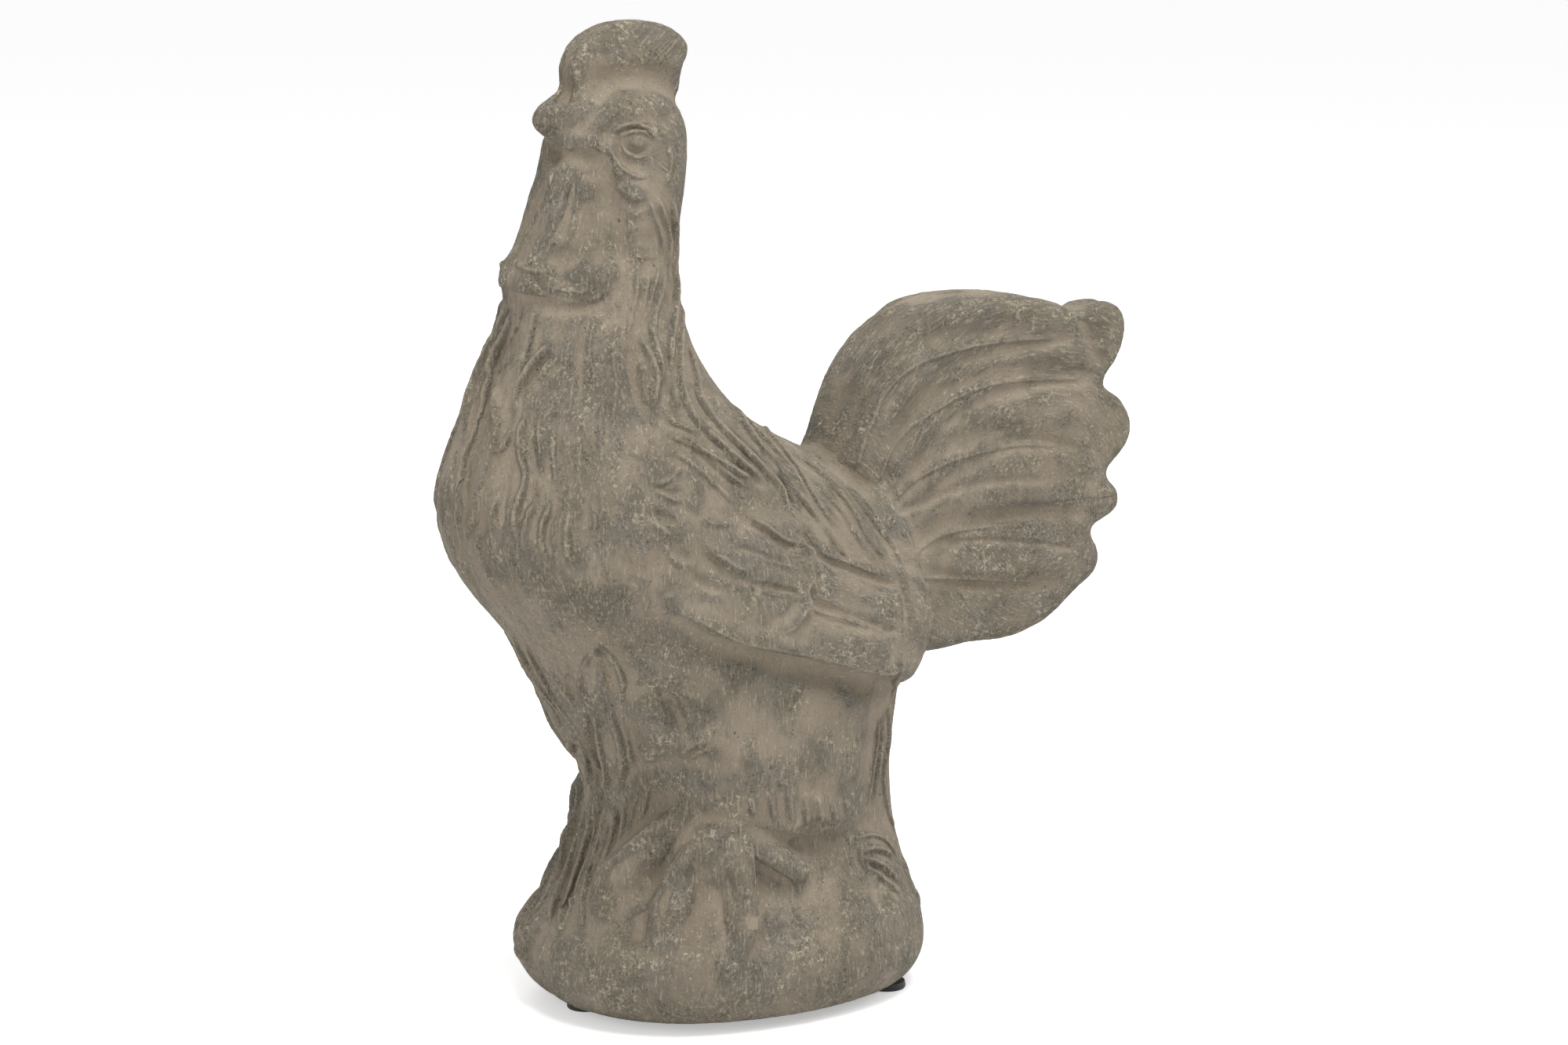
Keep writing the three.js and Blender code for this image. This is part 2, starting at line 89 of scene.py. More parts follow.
# How far the carved surface starts inside the castings' own: everywhere, and more or less at some heights.
# Each of these has its amount, its lower and upper end over the ground, and its reach behind the breast.
SLIMMER = 0.9 * MM
SLIMMED_MORE = [
    (3.2 * MM, 0.25, 0.375, 0.12),
    (-0.7 * MM, 0.395, 0.455, 0.12),
    (-1.0 * MM, 0.38, 0.48, 0.40),
    (1.2 * MM, 0.465, 0.53, 0.12),
    (4.4 * MM, 0.035, 0.15, 0.17),
    (1.5 * MM, 0.13, 0.21, 0.13),
]
SLIMMING_EASE = 0.35

# Cement that is left over the pieces inside
COVER = 4.2 * MM

# The castings' broad feathers are smoothed away at the front of the neck: the strokes give finer ones.
FRONT_SMOOTHING = 5.5 * MM
FRONT_REACH = 0.14
FRONT_LOW = 0.235
FRONT_HIGH = 0.45
FRONT_LOW_EASE = 0.02
FRONT_HIGH_EASE = 0.03

# The comb's top gets back the height that slimming takes.
COMB_RISE = 1.4 * MM
COMB_LOW = 0.44
COMB_HIGH = 0.49

# The beak is a short cone with a rounded tip, narrower than it is high.
BEAK_TIP = Vector((-0.1512, 0, 0.4500))
BEAK_ROOT_X = -0.126
BEAK_ROUNDING = 4 * MM
BEAK_SPREAD = 0.66
BEAK_NARROWNESS = 0.75
BEAK_BLEND = 3 * MM

# Room that is worked on round the beak: before the tip, behind the root and to the sides
BEAK_AHEAD = 0.02
BEAK_BEHIND = 0.01
BEAK_BESIDE = 0.03

# The casting's underside, which stays flat
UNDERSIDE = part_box("left_shell")[0][2]
EDGE_AT_UNDERSIDE = 3 * MM

# Depth under the surface from which the castings' own hollows are cut out
SKIN = 9 * MM

# Uneven swells of the whole surface
LUMP_HEIGHT = 1.6 * MM
LUMP_GRAIN = 34 * MM

# Edges are drawn sharp from these angles on, in degrees.
CASTING_SHARP_ANGLE = 62
PAD_SHARP_ANGLE = 40

SEED = 11


# Strokes: each follows points read off the photograph, in its pixels, and lies on the surface seen there.
# A crest is a sharp line between two hollow flanks, a cut is a groove, a mound is a soft swelling. A fold is
# raised on the left of its line, as it is walked, and drops at the line.
def stroke_of(kind, width, height, points):
    return {"kind": kind, "width": width * MM, "height": height * MM, "points": points}


def crest(width, height, *points):
    return stroke_of("crest", width, height, points)


def cut(width, height, *points):
    return stroke_of("cut", width, height, points)


def mound(width, height, *points):
    return stroke_of("mound", width, height, points)


def fold(width, height, *points):
    return stroke_of("fold", width, height, points)


HEAD = [
    # Eyelids, eyeball and the ring round the eye
    crest(3.0, 1.6, (782, 168), (797, 160), (815, 159), (829, 167), (835, 178)),
    crest(2.4, 1.2, (790, 174), (805, 168), (820, 168), (831, 175)),
    cut(2.2, 0.5, (790, 170), (806, 164), (821, 164), (832, 171)),
    crest(2.6, 0.9, (793, 178), (797, 191), (811, 200), (827, 196)),
    cut(3.0, 1.1, (796, 178), (802, 190), (813, 195), (824, 191), (828, 180)),
    mound(4.0, 1.2, (811, 181), (815, 183)),
    crest(3.4, 1.2, (778, 170), (780, 190), (792, 212), (811, 226), (828, 222)),
    cut(3.5, 1.0, (786, 180), (789, 196), (800, 210), (815, 216)),
    # Brow
    mound(9, 1.5, (762, 166), (776, 152), (796, 142), (820, 136), (842, 136)),
    cut(8, 0.8, (774, 168), (784, 158), (800, 153), (820, 151), (840, 154)),
    # Valley between the comb and the head
    cut(10, 2.6, (704, 124), (716, 121), (732, 119)),
    cut(12, 2.4, (738, 120), (760, 114), (792, 106), (820, 103), (845, 106), (861, 111), (866, 113)),
    # Beak: its lower edge, the groove under it and the cheek line
    fold(9, 1.3, (704, 184), (720, 189), (742, 190), (757, 189), (772, 195), (782, 202)),
    cut(10, 2.6, (690, 184), (704, 190), (720, 196), (742, 200), (762, 204)),
    mound(6, 1.2, (750, 182), (766, 190), (780, 202), (790, 218)),
    cut(4, 1.0, (772, 205), (777, 219), (786, 232), (797, 246)),
    # Cheek patch with its rough lower edge
    mound(9, 1.0, (812, 238), (800, 222)),
    mound(8, 1.2, (788, 226), (800, 242), (816, 248)),
    fold(9, 1.2, (777, 224), (787, 238), (798, 252), (810, 258), (825, 254)),
    cut(5, 1.0, (775, 228), (783, 242), (795, 257), (810, 264), (826, 260)),
    # Ear lobe
    cut(11, 1.4, (820, 268), (822, 290), (826, 318)),
    crest(3.5, 1.2, (826, 250), (832, 269), (840, 292), (844, 312), (842, 326)),
    cut(3.5, 1.0, (806, 262), (807, 285), (803, 305), (799, 322)),
    fold(4, 0.8, (806, 326), (820, 331), (838, 329)),
    cut(3.5, 1.0, (838, 262), (848, 286), (855, 308)),
    # Wattles: dividing line, oval, soft ridge down the middle and the ridge towards the far one
    cut(5, 1.8, (730, 234), (726, 256), (720, 282), (711, 306)),
    cut(6, 0.8, (732, 232), (748, 226), (764, 226)),
    cut(7, 1.8, (776, 236), (788, 270), (794, 305), (794, 335), (786, 352)),
    mound(8, 1.2, (750, 240), (752, 280), (750, 330)),
    cut(6, 0.8, (745, 250), (745, 290), (742, 320)),
    mound(10, 2.2, (735, 345), (758, 352), (778, 345)),
    crest(5, 1.0, (708, 200), (704, 228), (695, 256), (679, 288), (661, 318), (650, 340)),
    cut(5, 0.9, (718, 202), (714, 230), (706, 256), (692, 285)),
    cut(3, 0.8, (688, 240), (680, 262), (666, 290), (652, 318)),
    # Rough lower band of the wattles, with an undercut below
    mound(11, 1.4, (690, 352), (712, 358), (738, 364), (764, 360)),
    cut(9, 1.0, (690, 322), (715, 332), (745, 336)),
    fold(8, 1.5, (655, 371), (690, 377), (722, 385), (745, 386), (766, 380), (785, 365)),
    cut(8, 1.6, (655, 379), (672, 383), (690, 385), (722, 391), (750, 390), (776, 379)),
    crest(4, 1.0, (655, 330), (668, 342), (684, 346), (700, 344)),
    crest(3, 0.8, (700, 366), (722, 372), (742, 374), (758, 368)),
]

NECK = [
    crest(4.4, 1.8, (838, 252), (848, 280), (853, 302), (850, 340)),
    crest(4.4, 1.8, (857, 250), (862, 300), (860, 340), (863, 370), (861, 396), (859, 418), (856, 440),
          (856, 473)),
    crest(5.0, 2.2, (866, 330), (868, 378), (867, 422), (868, 473), (871, 497), (878, 518), (888, 534),
          (900, 546)),
    crest(3.8, 1.5, (840, 340), (835, 360), (831, 372), (828, 387), (825, 404)),
    crest(3.8, 1.2, (827, 345), (825, 368), (822, 386), (819, 404)),
    crest(5.0, 1.8, (850, 345), (843, 373), (836, 396), (833, 422), (837, 442), (843, 460), (847, 473),
          (841, 492)),
    crest(3.8, 1.1, (812, 342), (812, 370), (806, 400), (800, 430)),
    crest(3.8, 1.1, (851, 175), (856, 205), (850, 235)),
    cut(4, 1.0, (846, 265), (857, 290), (862, 318)),
    cut(4, 1.2, (855, 340), (852, 372), (846, 410), (846, 440)),
    # Teardrops in the middle of the neck
    crest(5.0, 2.2, (816, 428), (826, 447), (833, 463), (838, 480), (836, 500), (834, 522)),
    cut(5, 1.4, (804, 438), (806, 466), (809, 490), (813, 512), (820, 523)),
    mound(6, 1.2, (822, 470), (826, 505)),
    cut(4, 1.4, (843, 430), (850, 460), (852, 490), (853, 515)),
    mound(5, 1.2, (861, 480), (863, 512)),
    crest(4.4, 1.8, (885, 466), (888, 487), (893, 506), (901, 522)),
    crest(3.8, 1.1, (852, 525), (859, 537), (871, 543), (888, 551)),
    crest(3.8, 1.1, (852, 553), (871, 563), (900, 577)),
    # Faint long lines down the middle
    crest(3.8, 0.9, (760, 400), (752, 440), (756, 480)),
    crest(3.8, 0.9, (788, 410), (782, 450), (786, 500), (780, 540)),
    crest(3.8, 0.8, (735, 470), (728, 510), (730, 536)),
    crest(3.8, 0.8, (770, 500), (765, 545), (770, 590)),
    cut(3.5, 0.7, (742, 430), (738, 470), (742, 510)),
]

LEFT_HACKLE = [
    crest(5.4, 2.5, (646, 380), (646, 396), (640, 415), (630, 434), (618, 458), (606, 486), (597, 515),
          (592, 545)),
    crest(5.4, 2.2, (656, 389), (651, 410), (640, 434), (630, 453), (622, 483), (618, 517), (610, 545),
          (603, 563),
          (595, 582), (591, 604), (588, 627), (587, 650), (587, 684)),
    crest(3, 1.2, (666, 392), (663, 413), (654, 428), (644, 446)),
    crest(5.4, 2.5, (679, 383), (682, 404), (679, 422), (673, 446), (667, 466), (657, 482)),
    crest(5.4, 2.5, (701, 438), (688, 453), (675, 471), (664, 490), (659, 508), (658, 524)),
    cut(3.5, 1.8, (700, 445), (688, 463), (679, 478), (668, 494), (662, 508), (661, 520)),
    crest(8.1, 2.5, (663, 446), (649, 466), (640, 484), (635, 504), (634, 525), (637, 542), (635, 559),
          (630, 580),
          (622, 603), (615, 625), (610, 643), (607, 663), (598, 678), (590, 693)),
    cut(6, 1.0, (713, 456), (704, 470), (692, 484), (675, 497)),
    crest(4.7, 1.8, (673, 521), (670, 535), (664, 549), (664, 578), (670, 603), (668, 621), (661, 640),
          (657, 660),
          (659, 678), (665, 695)),
    crest(4.7, 1.8, (653, 545), (649, 559), (642, 572), (630, 583)),
    crest(3, 1.0, (690, 528), (687, 545), (687, 560), (690, 580)),
    crest(3, 0.8, (706, 546), (705, 570), (707, 597), (711, 621)),
    cut(3, 0.8, (711, 552), (711, 590)),
    cut(3, 0.8, (679, 560), (681, 593), (686, 612)),
    crest(5.4, 2.0, (585, 571), (580, 597), (579, 616), (584, 634), (585, 656)),
    crest(5.4, 1.8, (637, 630), (630, 649), (628, 667), (631, 686), (637, 704), (643, 716)),
    crest(4.7, 1.5, (683, 640), (674, 654), (670, 671), (668, 690), (674, 705)),
    crest(4.7, 1.5, (704, 634), (702, 649), (694, 664), (691, 682), (692, 700), (700, 717)),
    cut(3, 1.2, (709, 630), (705, 652), (698, 671), (697, 690), (704, 708)),
    crest(4.7, 1.5, (728, 647), (724, 664), (722, 686), (724, 704), (731, 717), (737, 725)),
    crest(3, 0.8, (733, 671), (733, 693), (738, 712)),
    crest(3, 0.8, (755, 638), (759, 664), (760, 690)),
    crest(5.4, 1.2, (612, 655), (610, 690), (618, 720), (632, 752)),
    crest(5.4, 1.0, (648, 700), (660, 730), (676, 765)),
    cut(3, 2.2, (604, 490), (588, 523), (576, 553), (569, 582), (565, 606), (562, 634), (566, 660)),
    cut(4, 1.6, (648, 430), (632, 466), (628, 505), (624, 540), (612, 575)),
    cut(3.5, 1.6, (628, 470), (612, 500), (604, 535), (598, 565)),
    cut(3.5, 1.4, (655, 492), (650, 515), (648, 535)),
    cut(4, 1.4, (597, 590), (596, 630), (596, 668), (592, 690)),
    cut(4, 1.2, (580, 600), (574, 640), (576, 680), (586, 720)),
    cut(4, 1.2, (650, 600), (643, 628), (640, 652), (640, 680)),
    cut(4, 1.0, (620, 640), (615, 668), (618, 690)),
    cut(4, 1.0, (678, 610), (676, 632), (668, 648), (664, 672)),
    crest(3, 0.7, (742, 560), (738, 600), (745, 640)),
    crest(3, 0.6, (765, 600), (768, 650), (762, 700)),
]

RIGHT_HACKLE = [
    crest(4.8, 2.1, (878, 440), (887, 477), (894, 508), (912, 532), (940, 563), (973, 597), (994, 622),
          (1008, 648)),
    crest(4.2, 1.8, (900, 546), (917, 563), (937, 582), (951, 594), (969, 608)),
    crest(4.2, 1.8, (900, 455), (917, 490), (937, 520), (957, 550), (985, 581), (1003, 606), (1019, 630),
          (1044, 665)),
    crest(4.2, 1.6, (925, 505), (942, 527), (973, 557), (1003, 592), (1026, 627)),
    crest(4.2, 1.4, (868, 552), (888, 568), (905, 580), (923, 590), (945, 602), (966, 610)),
    crest(3.6, 1.1, (858, 575), (880, 590), (905, 612), (935, 640)),
    crest(3.6, 1.1, (975, 545), (998, 572), (1018, 600), (1040, 637), (1062, 668)),
    crest(3.6, 0.9, (905, 560), (923, 578), (941, 589), (959, 598)),
    crest(3.6, 0.9, (880, 560), (900, 577), (920, 598), (938, 612), (955, 622)),
    cut(4, 2.6, (992, 607), (1000, 621), (1005, 632), (1012, 648)),
    cut(3, 1.6, (962, 553), (978, 571), (990, 588), (1007, 612), (1020, 632)),
    cut(3, 1.2, (905, 522), (928, 547), (955, 573), (985, 606)),
    cut(3, 1.2, (895, 548), (922, 575), (950, 600), (975, 622)),
    cut(3, 1.0, (888, 575), (915, 598), (940, 622)),
    # Swirls on the shoulder
    crest(3.6, 1.1, (866, 590), (864, 601), (857, 608), (846, 615), (833, 619)),
    crest(3.6, 1.1, (833, 624), (848, 631), (859, 637), (871, 639)),
    cut(3, 0.8, (838, 622), (852, 628), (864, 632)),
    cut(3.5, 1.2, (828, 655), (848, 660), (858, 667), (863, 673)),
    crest(4.2, 1.1, (830, 667), (842, 672), (851, 680), (859, 686)),
    cut(4, 1.2, (857, 688), (864, 706), (874, 712), (883, 718)),
    crest(4.2, 0.9, (848, 690), (856, 710), (868, 722)),
    cut(3, 0.8, (792, 640), (780, 655), (790, 668)),
    cut(3, 0.8, (872, 648), (886, 656), (893, 666)),
    cut(3, 1.0, (844, 758), (851, 755), (864, 751)),
    mound(8, 0.8, (880, 600), (892, 620), (884, 640)),
    crest(3.6, 0.9, (893, 664), (915, 668), (940, 666)),
]

WING = [
    # Edge and tip, with the shaded valley under them
    fold(10, 2.2, (861, 782), (893, 794), (920, 809), (952, 823), (995, 832), (1036, 840), (1076, 850),
         (1108, 858),
         (1138, 861), (1152, 850), (1152, 836)),
    cut(13, 2.4, (905, 812), (950, 834), (995, 844), (1036, 851), (1076, 861), (1108, 868), (1140, 870)),
    # Rear boundary of the coverts
    fold(9, 2.2, (992, 811), (1012, 804), (1023, 789), (1033, 773), (1029, 755), (1037, 738), (1032, 721),
         (1038, 701),
         (1022, 692)),
    cut(3, 0.8, (1026, 801), (1037, 778), (1034, 756), (1042, 738), (1037, 722), (1043, 704)),
    # Coverts in three rows
    cut(3.5, 1.4, (953, 665), (973, 676), (986, 689), (1003, 698), (1016, 702)),
    crest(3.5, 1.2, (960, 662), (978, 671), (992, 683), (1008, 691), (1022, 695)),
    cut(3, 1.0, (937, 699), (959, 703), (982, 712), (1007, 718)),
    cut(3, 1.4, (1023, 678), (1030, 690), (1037, 701)),
    cut(3, 1.0, (968, 716), (990, 722), (1014, 732)),
    cut(3, 1.0, (896, 704), (914, 718), (925, 732), (942, 740), (968, 747), (1009, 755), (1024, 757)),
    crest(5, 1.4, (905, 700), (922, 713), (936, 722), (960, 730)),
    mound(7, 1.0, (930, 716), (934, 726)),
    cut(3, 0.9, (954, 750), (975, 759), (1000, 768)),
    cut(4, 1.2, (880, 730), (905, 748), (930, 756)),
    # Primaries
    cut(3, 0.9, (1037, 701), (1049, 713), (1076, 724), (1103, 735), (1125, 743), (1146, 747)),
    crest(6, 1.2, (1046, 702), (1072, 714), (1100, 724), (1130, 734)),
    cut(3, 1.0, (1034, 762), (1040, 771), (1063, 778), (1090, 786), (1117, 797), (1149, 808)),
    cut(3, 0.9, (1036, 783), (1063, 792), (1103, 802), (1132, 809)),
    mound(8, 1.0, (1060, 748), (1100, 762), (1135, 776)),
    mound(8, 1.0, (1040, 810), (1085, 820), (1130, 833)),
    # Saddle feathers behind the wing
    crest(5, 1.2, (1012, 580), (1040, 598), (1066, 620), (1090, 655), (1110, 690), (1130, 715)),
    crest(5, 1.0, (1038, 613), (1062, 640), (1085, 672), (1105, 702)),
    crest(5, 0.9, (1045, 665), (1062, 690), (1080, 712)),
    cut(4, 1.2, (1075, 618), (1100, 648), (1125, 686), (1145, 722)),
    crest(5, 1.2, (1085, 618), (1112, 650), (1134, 688), (1150, 722)),
    cut(4, 1.0, (1055, 610), (1078, 640), (1100, 676), (1122, 708)),
    cut(5, 1.0, (1150, 745), (1156, 775), (1158, 810)),
]

TAIL = [
    # Valley between the tail and the rump
    cut(12, 2.0, (1040, 583), (1078, 606), (1112, 636), (1140, 676), (1158, 716), (1168, 752), (1176, 800)),
    # Front and top rim
    mound(17, 1.6, (1046, 570), (1050, 520), (1066, 470), (1092, 430), (1130, 406), (1190, 396), (1260, 396),
          (1330, 406)),
    # Valleys between the feathers
    cut(11, 1.5, (1073, 590), (1080, 556), (1092, 520), (1108, 484), (1136, 456), (1176, 438), (1232, 425),
        (1290, 419), (1340, 418)),
    cut(9, 1.1, (1108, 604), (1124, 572), (1148, 540), (1178, 512), (1222, 488), (1280, 475), (1370, 471)),
    cut(9, 0.9, (1133, 628), (1153, 604), (1180, 583), (1225, 566), (1290, 555), (1360, 556)),
    cut(8, 0.9, (1165, 700), (1182, 680), (1210, 666), (1255, 660), (1330, 658), (1385, 664)),
    cut(7, 0.7, (1178, 733), (1235, 742), (1300, 748), (1360, 748)),
    # Sharp edges of the channels between the feathers, which the castings have already
    crest(3.5, 0.9, (1092, 600), (1100, 568), (1112, 537), (1132, 496), (1170, 464), (1232, 443), (1290, 434),
          (1345, 430)),
    cut(3, 0.7, (1086, 598), (1094, 566), (1106, 535), (1127, 490), (1168, 456), (1232, 434), (1290, 425)),
    crest(3.5, 0.9, (1118, 618), (1133, 578), (1156, 548), (1186, 526), (1236, 499), (1290, 486),
          (1380, 482)),
    cut(3, 0.7, (1110, 612), (1126, 570), (1149, 540), (1178, 517), (1234, 489), (1288, 476), (1384, 472)),
    crest(3.5, 0.8, (1138, 640), (1158, 618), (1178, 604), (1222, 584), (1290, 568), (1350, 569)),
    cut(3, 0.6, (1132, 634), (1152, 611), (1172, 596), (1219, 575), (1288, 559), (1350, 560)),
    cut(3.5, 0.8, (1144, 656), (1199, 632), (1259, 616), (1335, 612)),
    crest(3.5, 0.7, (1168, 706), (1184, 692), (1206, 680), (1250, 672), (1310, 668)),
    cut(3, 0.8, (1200, 692), (1282, 690), (1368, 699)),
    crest(3.5, 0.8, (1175, 737), (1232, 738), (1320, 742)),
    # Feathers between them
    mound(14, 0.8, (1112, 590), (1130, 545), (1160, 497), (1230, 460), (1300, 450), (1370, 450)),
    mound(16, 0.8, (1140, 595), (1185, 550), (1250, 520), (1320, 512), (1405, 525)),
    mound(12, 0.6, (1170, 625), (1220, 598), (1290, 583), (1360, 590)),
    mound(12, 0.6, (1190, 655), (1250, 640), (1320, 632), (1400, 635)),
    mound(14, 0.8, (1190, 718), (1260, 722), (1330, 722), (1385, 715)),
    # Knob at the tip
    mound(9, 1.2, (1400, 398), (1412, 420), (1408, 445)),
    cut(5, 1.4, (1372, 402), (1384, 416), (1388, 440)),
]

BELLY = [
    # Thigh's rear edge, and the strip behind it
    crest(6, 1.8, (1122, 915), (1117, 955), (1110, 993), (1104, 1025), (1088, 1044)),
    cut(5, 3.0, (1127, 905), (1122, 950), (1114, 1000), (1108, 1030)),
    crest(4, 1.4, (1133, 900), (1133, 945), (1126, 990), (1130, 1030), (1140, 1060)),
    cut(4, 1.6, (1140, 885), (1140, 930), (1135, 985), (1140, 1040)),
    crest(4, 1.4, (1154, 842), (1144, 868), (1137, 895)),
    # Ledge over the base, with short flutes
    fold(14, 2.2, (962, 1052), (985, 1058), (1010, 1060), (1034, 1063), (1054, 1054), (1084, 1047),
         (1104, 1030)),
    cut(5, 0.9, (975, 1061), (1008, 1066), (1036, 1067), (1060, 1058), (1090, 1050)),
    crest(4, 1.4, (958, 1012), (962, 1040)),
    crest(5, 1.6, (983, 1008), (987, 1046)),
    crest(5, 1.6, (1006, 1006), (1010, 1050)),
    crest(5, 1.6, (1026, 1012), (1030, 1052)),
    crest(5, 1.6, (1043, 1014), (1047, 1048)),
    crest(5, 1.4, (1062, 1018), (1064, 1046)),
    crest(5, 1.2, (1080, 1016), (1079, 1040)),
    # Leaf
    fold(8, 1.5, (761, 822), (745, 842), (737, 866), (741, 888), (754, 905)),
    fold(8, 1.5, (798, 880), (794, 860), (784, 840), (768, 824), (761, 822)),
    crest(5, 0.8, (763, 826), (766, 860), (764, 882), (757, 904)),
    cut(5, 1.6, (775, 850), (782, 870), (785, 890)),
    cut(5, 1.6, (733, 850), (728, 875), (735, 897)),
    cut(6, 1.4, (806, 850), (806, 880), (800, 900)),
    # Stems under the leaf
    crest(5, 2.2, (757, 905), (760, 938), (768, 972), (775, 1012)),
    crest(6, 2.0, (774, 898), (786, 932), (793, 968), (792, 1002)),
    crest(5, 1.4, (788, 910), (800, 945), (804, 978)),
    cut(5, 3.0, (755, 912), (755, 940), (763, 974), (770, 1000), (774, 1016)),
    mound(8, 2.4, (733, 932), (735, 940)),
    crest(7, 2.2, (728, 942), (731, 965), (738, 992), (744, 1020)),
    crest(5, 1.4, (743, 945), (748, 975), (754, 1010)),
    # Oval boss
    mound(15, 2.8, (826, 905), (832, 930), (830, 955)),
    cut(6, 2.8, (843, 884), (857, 900), (867, 922), (869, 940)),
    cut(6, 1.6, (800, 895), (812, 884), (830, 880)),
    cut(6, 1.2, (798, 915), (804, 943), (818, 968), (838, 978)),
    crest(5, 1.2, (866, 966), (885, 948), (906, 942)),
    crest(4, 1.0, (874, 975), (893, 958), (912, 955)),
    # Folds along the left outline
    crest(4, 1.4, (655, 812), (670, 850), (694, 885), (724, 925)),
    crest(4, 1.6, (668, 818), (686, 856), (708, 890), (730, 922)),
    cut(4, 2.2, (664, 830), (680, 868), (702, 900), (722, 928)),
    cut(4, 2.0, (668, 868), (684, 902), (702, 932), (722, 955)),
    crest(5, 1.8, (668, 856), (676, 885), (694, 918), (720, 952)),
    crest(5, 1.2, (700, 850), (718, 880), (738, 905)),
]

SKIRT = [
    # Waist over the skirt, and the ankle's upper edge
    mound(9, 1.2, (743, 1034), (766, 1026), (790, 1018), (812, 1006), (836, 998), (864, 994), (900, 996)),
    cut(7.2, 0.9, (780, 1008), (800, 990), (826, 976), (855, 971), (900, 974), (940, 982)),
    crest(4.8, 1.4, (745, 1033), (728, 1068), (713, 1102), (702, 1120), (684, 1143), (668, 1163),
          (657, 1185)),
    crest(4.4, 1.3, (750, 1034), (734, 1075), (720, 1115), (706, 1150), (703, 1182)),
    crest(4.4, 1.3, (757, 1034), (744, 1080), (731, 1122), (718, 1160), (715, 1190)),
    crest(4.4, 1.2, (764, 1034), (755, 1072), (742, 1115), (728, 1152), (720, 1180)),
    crest(4.4, 1.2, (771, 1032), (764, 1075), (752, 1110), (744, 1150), (744, 1192)),
    crest(4.8, 1.4, (784, 1020), (784, 1055), (774, 1093), (764, 1122), (757, 1148)),
    crest(4.8, 1.2, (798, 1012), (795, 1050), (788, 1082), (778, 1104)),
    crest(4.8, 1.1, (812, 1010), (806, 1044), (797, 1068)),
    crest(3.9, 0.9, (828, 1000), (822, 1030), (812, 1052)),
    crest(4.4, 1.2, (707, 1130), (690, 1152), (676, 1172), (666, 1200)),
    crest(4.4, 1.1, (690, 1135), (672, 1158), (660, 1178), (656, 1205)),
    cut(3.1, 2.0, (741, 1050), (724, 1090), (708, 1124)),
    cut(3.1, 1.8, (747, 1050), (733, 1096), (717, 1140), (706, 1170)),
    cut(3.1, 1.6, (756, 1050), (744, 1098), (730, 1142), (718, 1176)),
    cut(4.5, 1.8, (778, 1036), (774, 1070), (762, 1106), (752, 1140)),
    cut(3.6, 1.4, (791, 1030), (788, 1062), (780, 1090)),
    cut(3.6, 1.6, (700, 1128), (684, 1150), (670, 1172)),
    crest(4.6, 1.4, (664, 1176), (668, 1196), (680, 1210)),
    crest(4.6, 1.4, (656, 1206), (666, 1222), (682, 1232)),
    cut(4, 1.8, (656, 1214), (666, 1234), (680, 1244)),
]

FOOT = [
    # First toe: the light ridge and the smooth flank behind it
    crest(12, 4.0, (872, 1030), (855, 1042), (830, 1066), (802, 1090), (780, 1111), (766, 1134), (763, 1156)),
    mound(16, 4.6, (868, 1050), (835, 1078), (806, 1102), (785, 1130), (778, 1152)),
    cut(14, 3.2, (852, 1104), (822, 1130), (795, 1152), (775, 1168)),
    # Second toe
    crest(11, 4.0, (893, 1070), (877, 1093), (859, 1118), (843, 1143), (835, 1170), (831, 1206)),
    mound(15, 3.4, (905, 1072), (885, 1110), (866, 1150), (852, 1190)),
    cut(12, 3.2, (820, 1150), (816, 1180), (818, 1205)),
    # Third toe: a wedge with a sharp rear edge
    crest(10, 3.2, (925, 1078), (935, 1105), (944, 1140), (949, 1180), (948, 1215)),
    fold(13, 4.2, (950, 1228), (952, 1160), (952, 1110), (951, 1060)),
    cut(10, 3.4, (908, 1120), (914, 1155), (920, 1190), (926, 1232)),
    # Hind toe
    mound(13, 2.6, (960, 1080), (988, 1084), (1010, 1100), (1020, 1112)),
    mound(9, 1.6, (968, 1112), (994, 1126), (1016, 1132)),
    fold(8, 1.4, (953, 1094), (972, 1096), (992, 1108), (1014, 1118), (1026, 1113)),
    cut(5, 1.0, (955, 1102), (974, 1106), (994, 1117), (1016, 1126)),
    cut(7, 0.9, (965, 1060), (985, 1066), (1008, 1080), (1026, 1098)),
    # Ankle
    mound(18, 2.2, (880, 1020), (910, 1030), (935, 1045)),
    # Ribbed relief at the rear
    mound(14, 1.6, (1100, 1080), (1122, 1092), (1140, 1116)),
    crest(3.5, 1.3, (1088, 1070), (1105, 1064), (1126, 1070), (1142, 1090)),
    crest(3.5, 1.4, (1096, 1086), (1116, 1082), (1136, 1091)),
    crest(3.5, 1.4, (1099, 1094), (1121, 1103), (1140, 1122)),
    crest(3.5, 1.4, (1106, 1105), (1124, 1121), (1143, 1145)),
    cut(3, 1.0, (1098, 1090), (1120, 1092), (1140, 1104)),
    cut(3, 1.0, (1102, 1099), (1122, 1112), (1142, 1134)),
    cut(5, 1.4, (1088, 1080), (1092, 1096), (1104, 1116), (1122, 1138)),
    crest(6, 1.6, (1146, 1062), (1153, 1106), (1163, 1138), (1172, 1155)),
    cut(5, 1.6, (1150, 1040), (1158, 1090), (1168, 1130)),
    # Swell of the rock
    mound(20, 2.0, (1090, 1150), (1130, 1150), (1165, 1165)),
    cut(12, 1.6, (1075, 1120), (1100, 1128), (1130, 1150)),
]

# Mounds and folds add up, and the sharpest crest and the deepest cut count alone.
STROKES = HEAD + NECK + LEFT_HACKLE + RIGHT_HACKLE + WING + TAIL + BELLY + SKIRT + FOOT


# A stain makes the cement rougher and darker round a pixel, or smoother and lighter. Radii are in pixels.
def stain(radius, amount, x, y):
    return {"radius": radius, "amount": amount, "pixel": (x, y)}


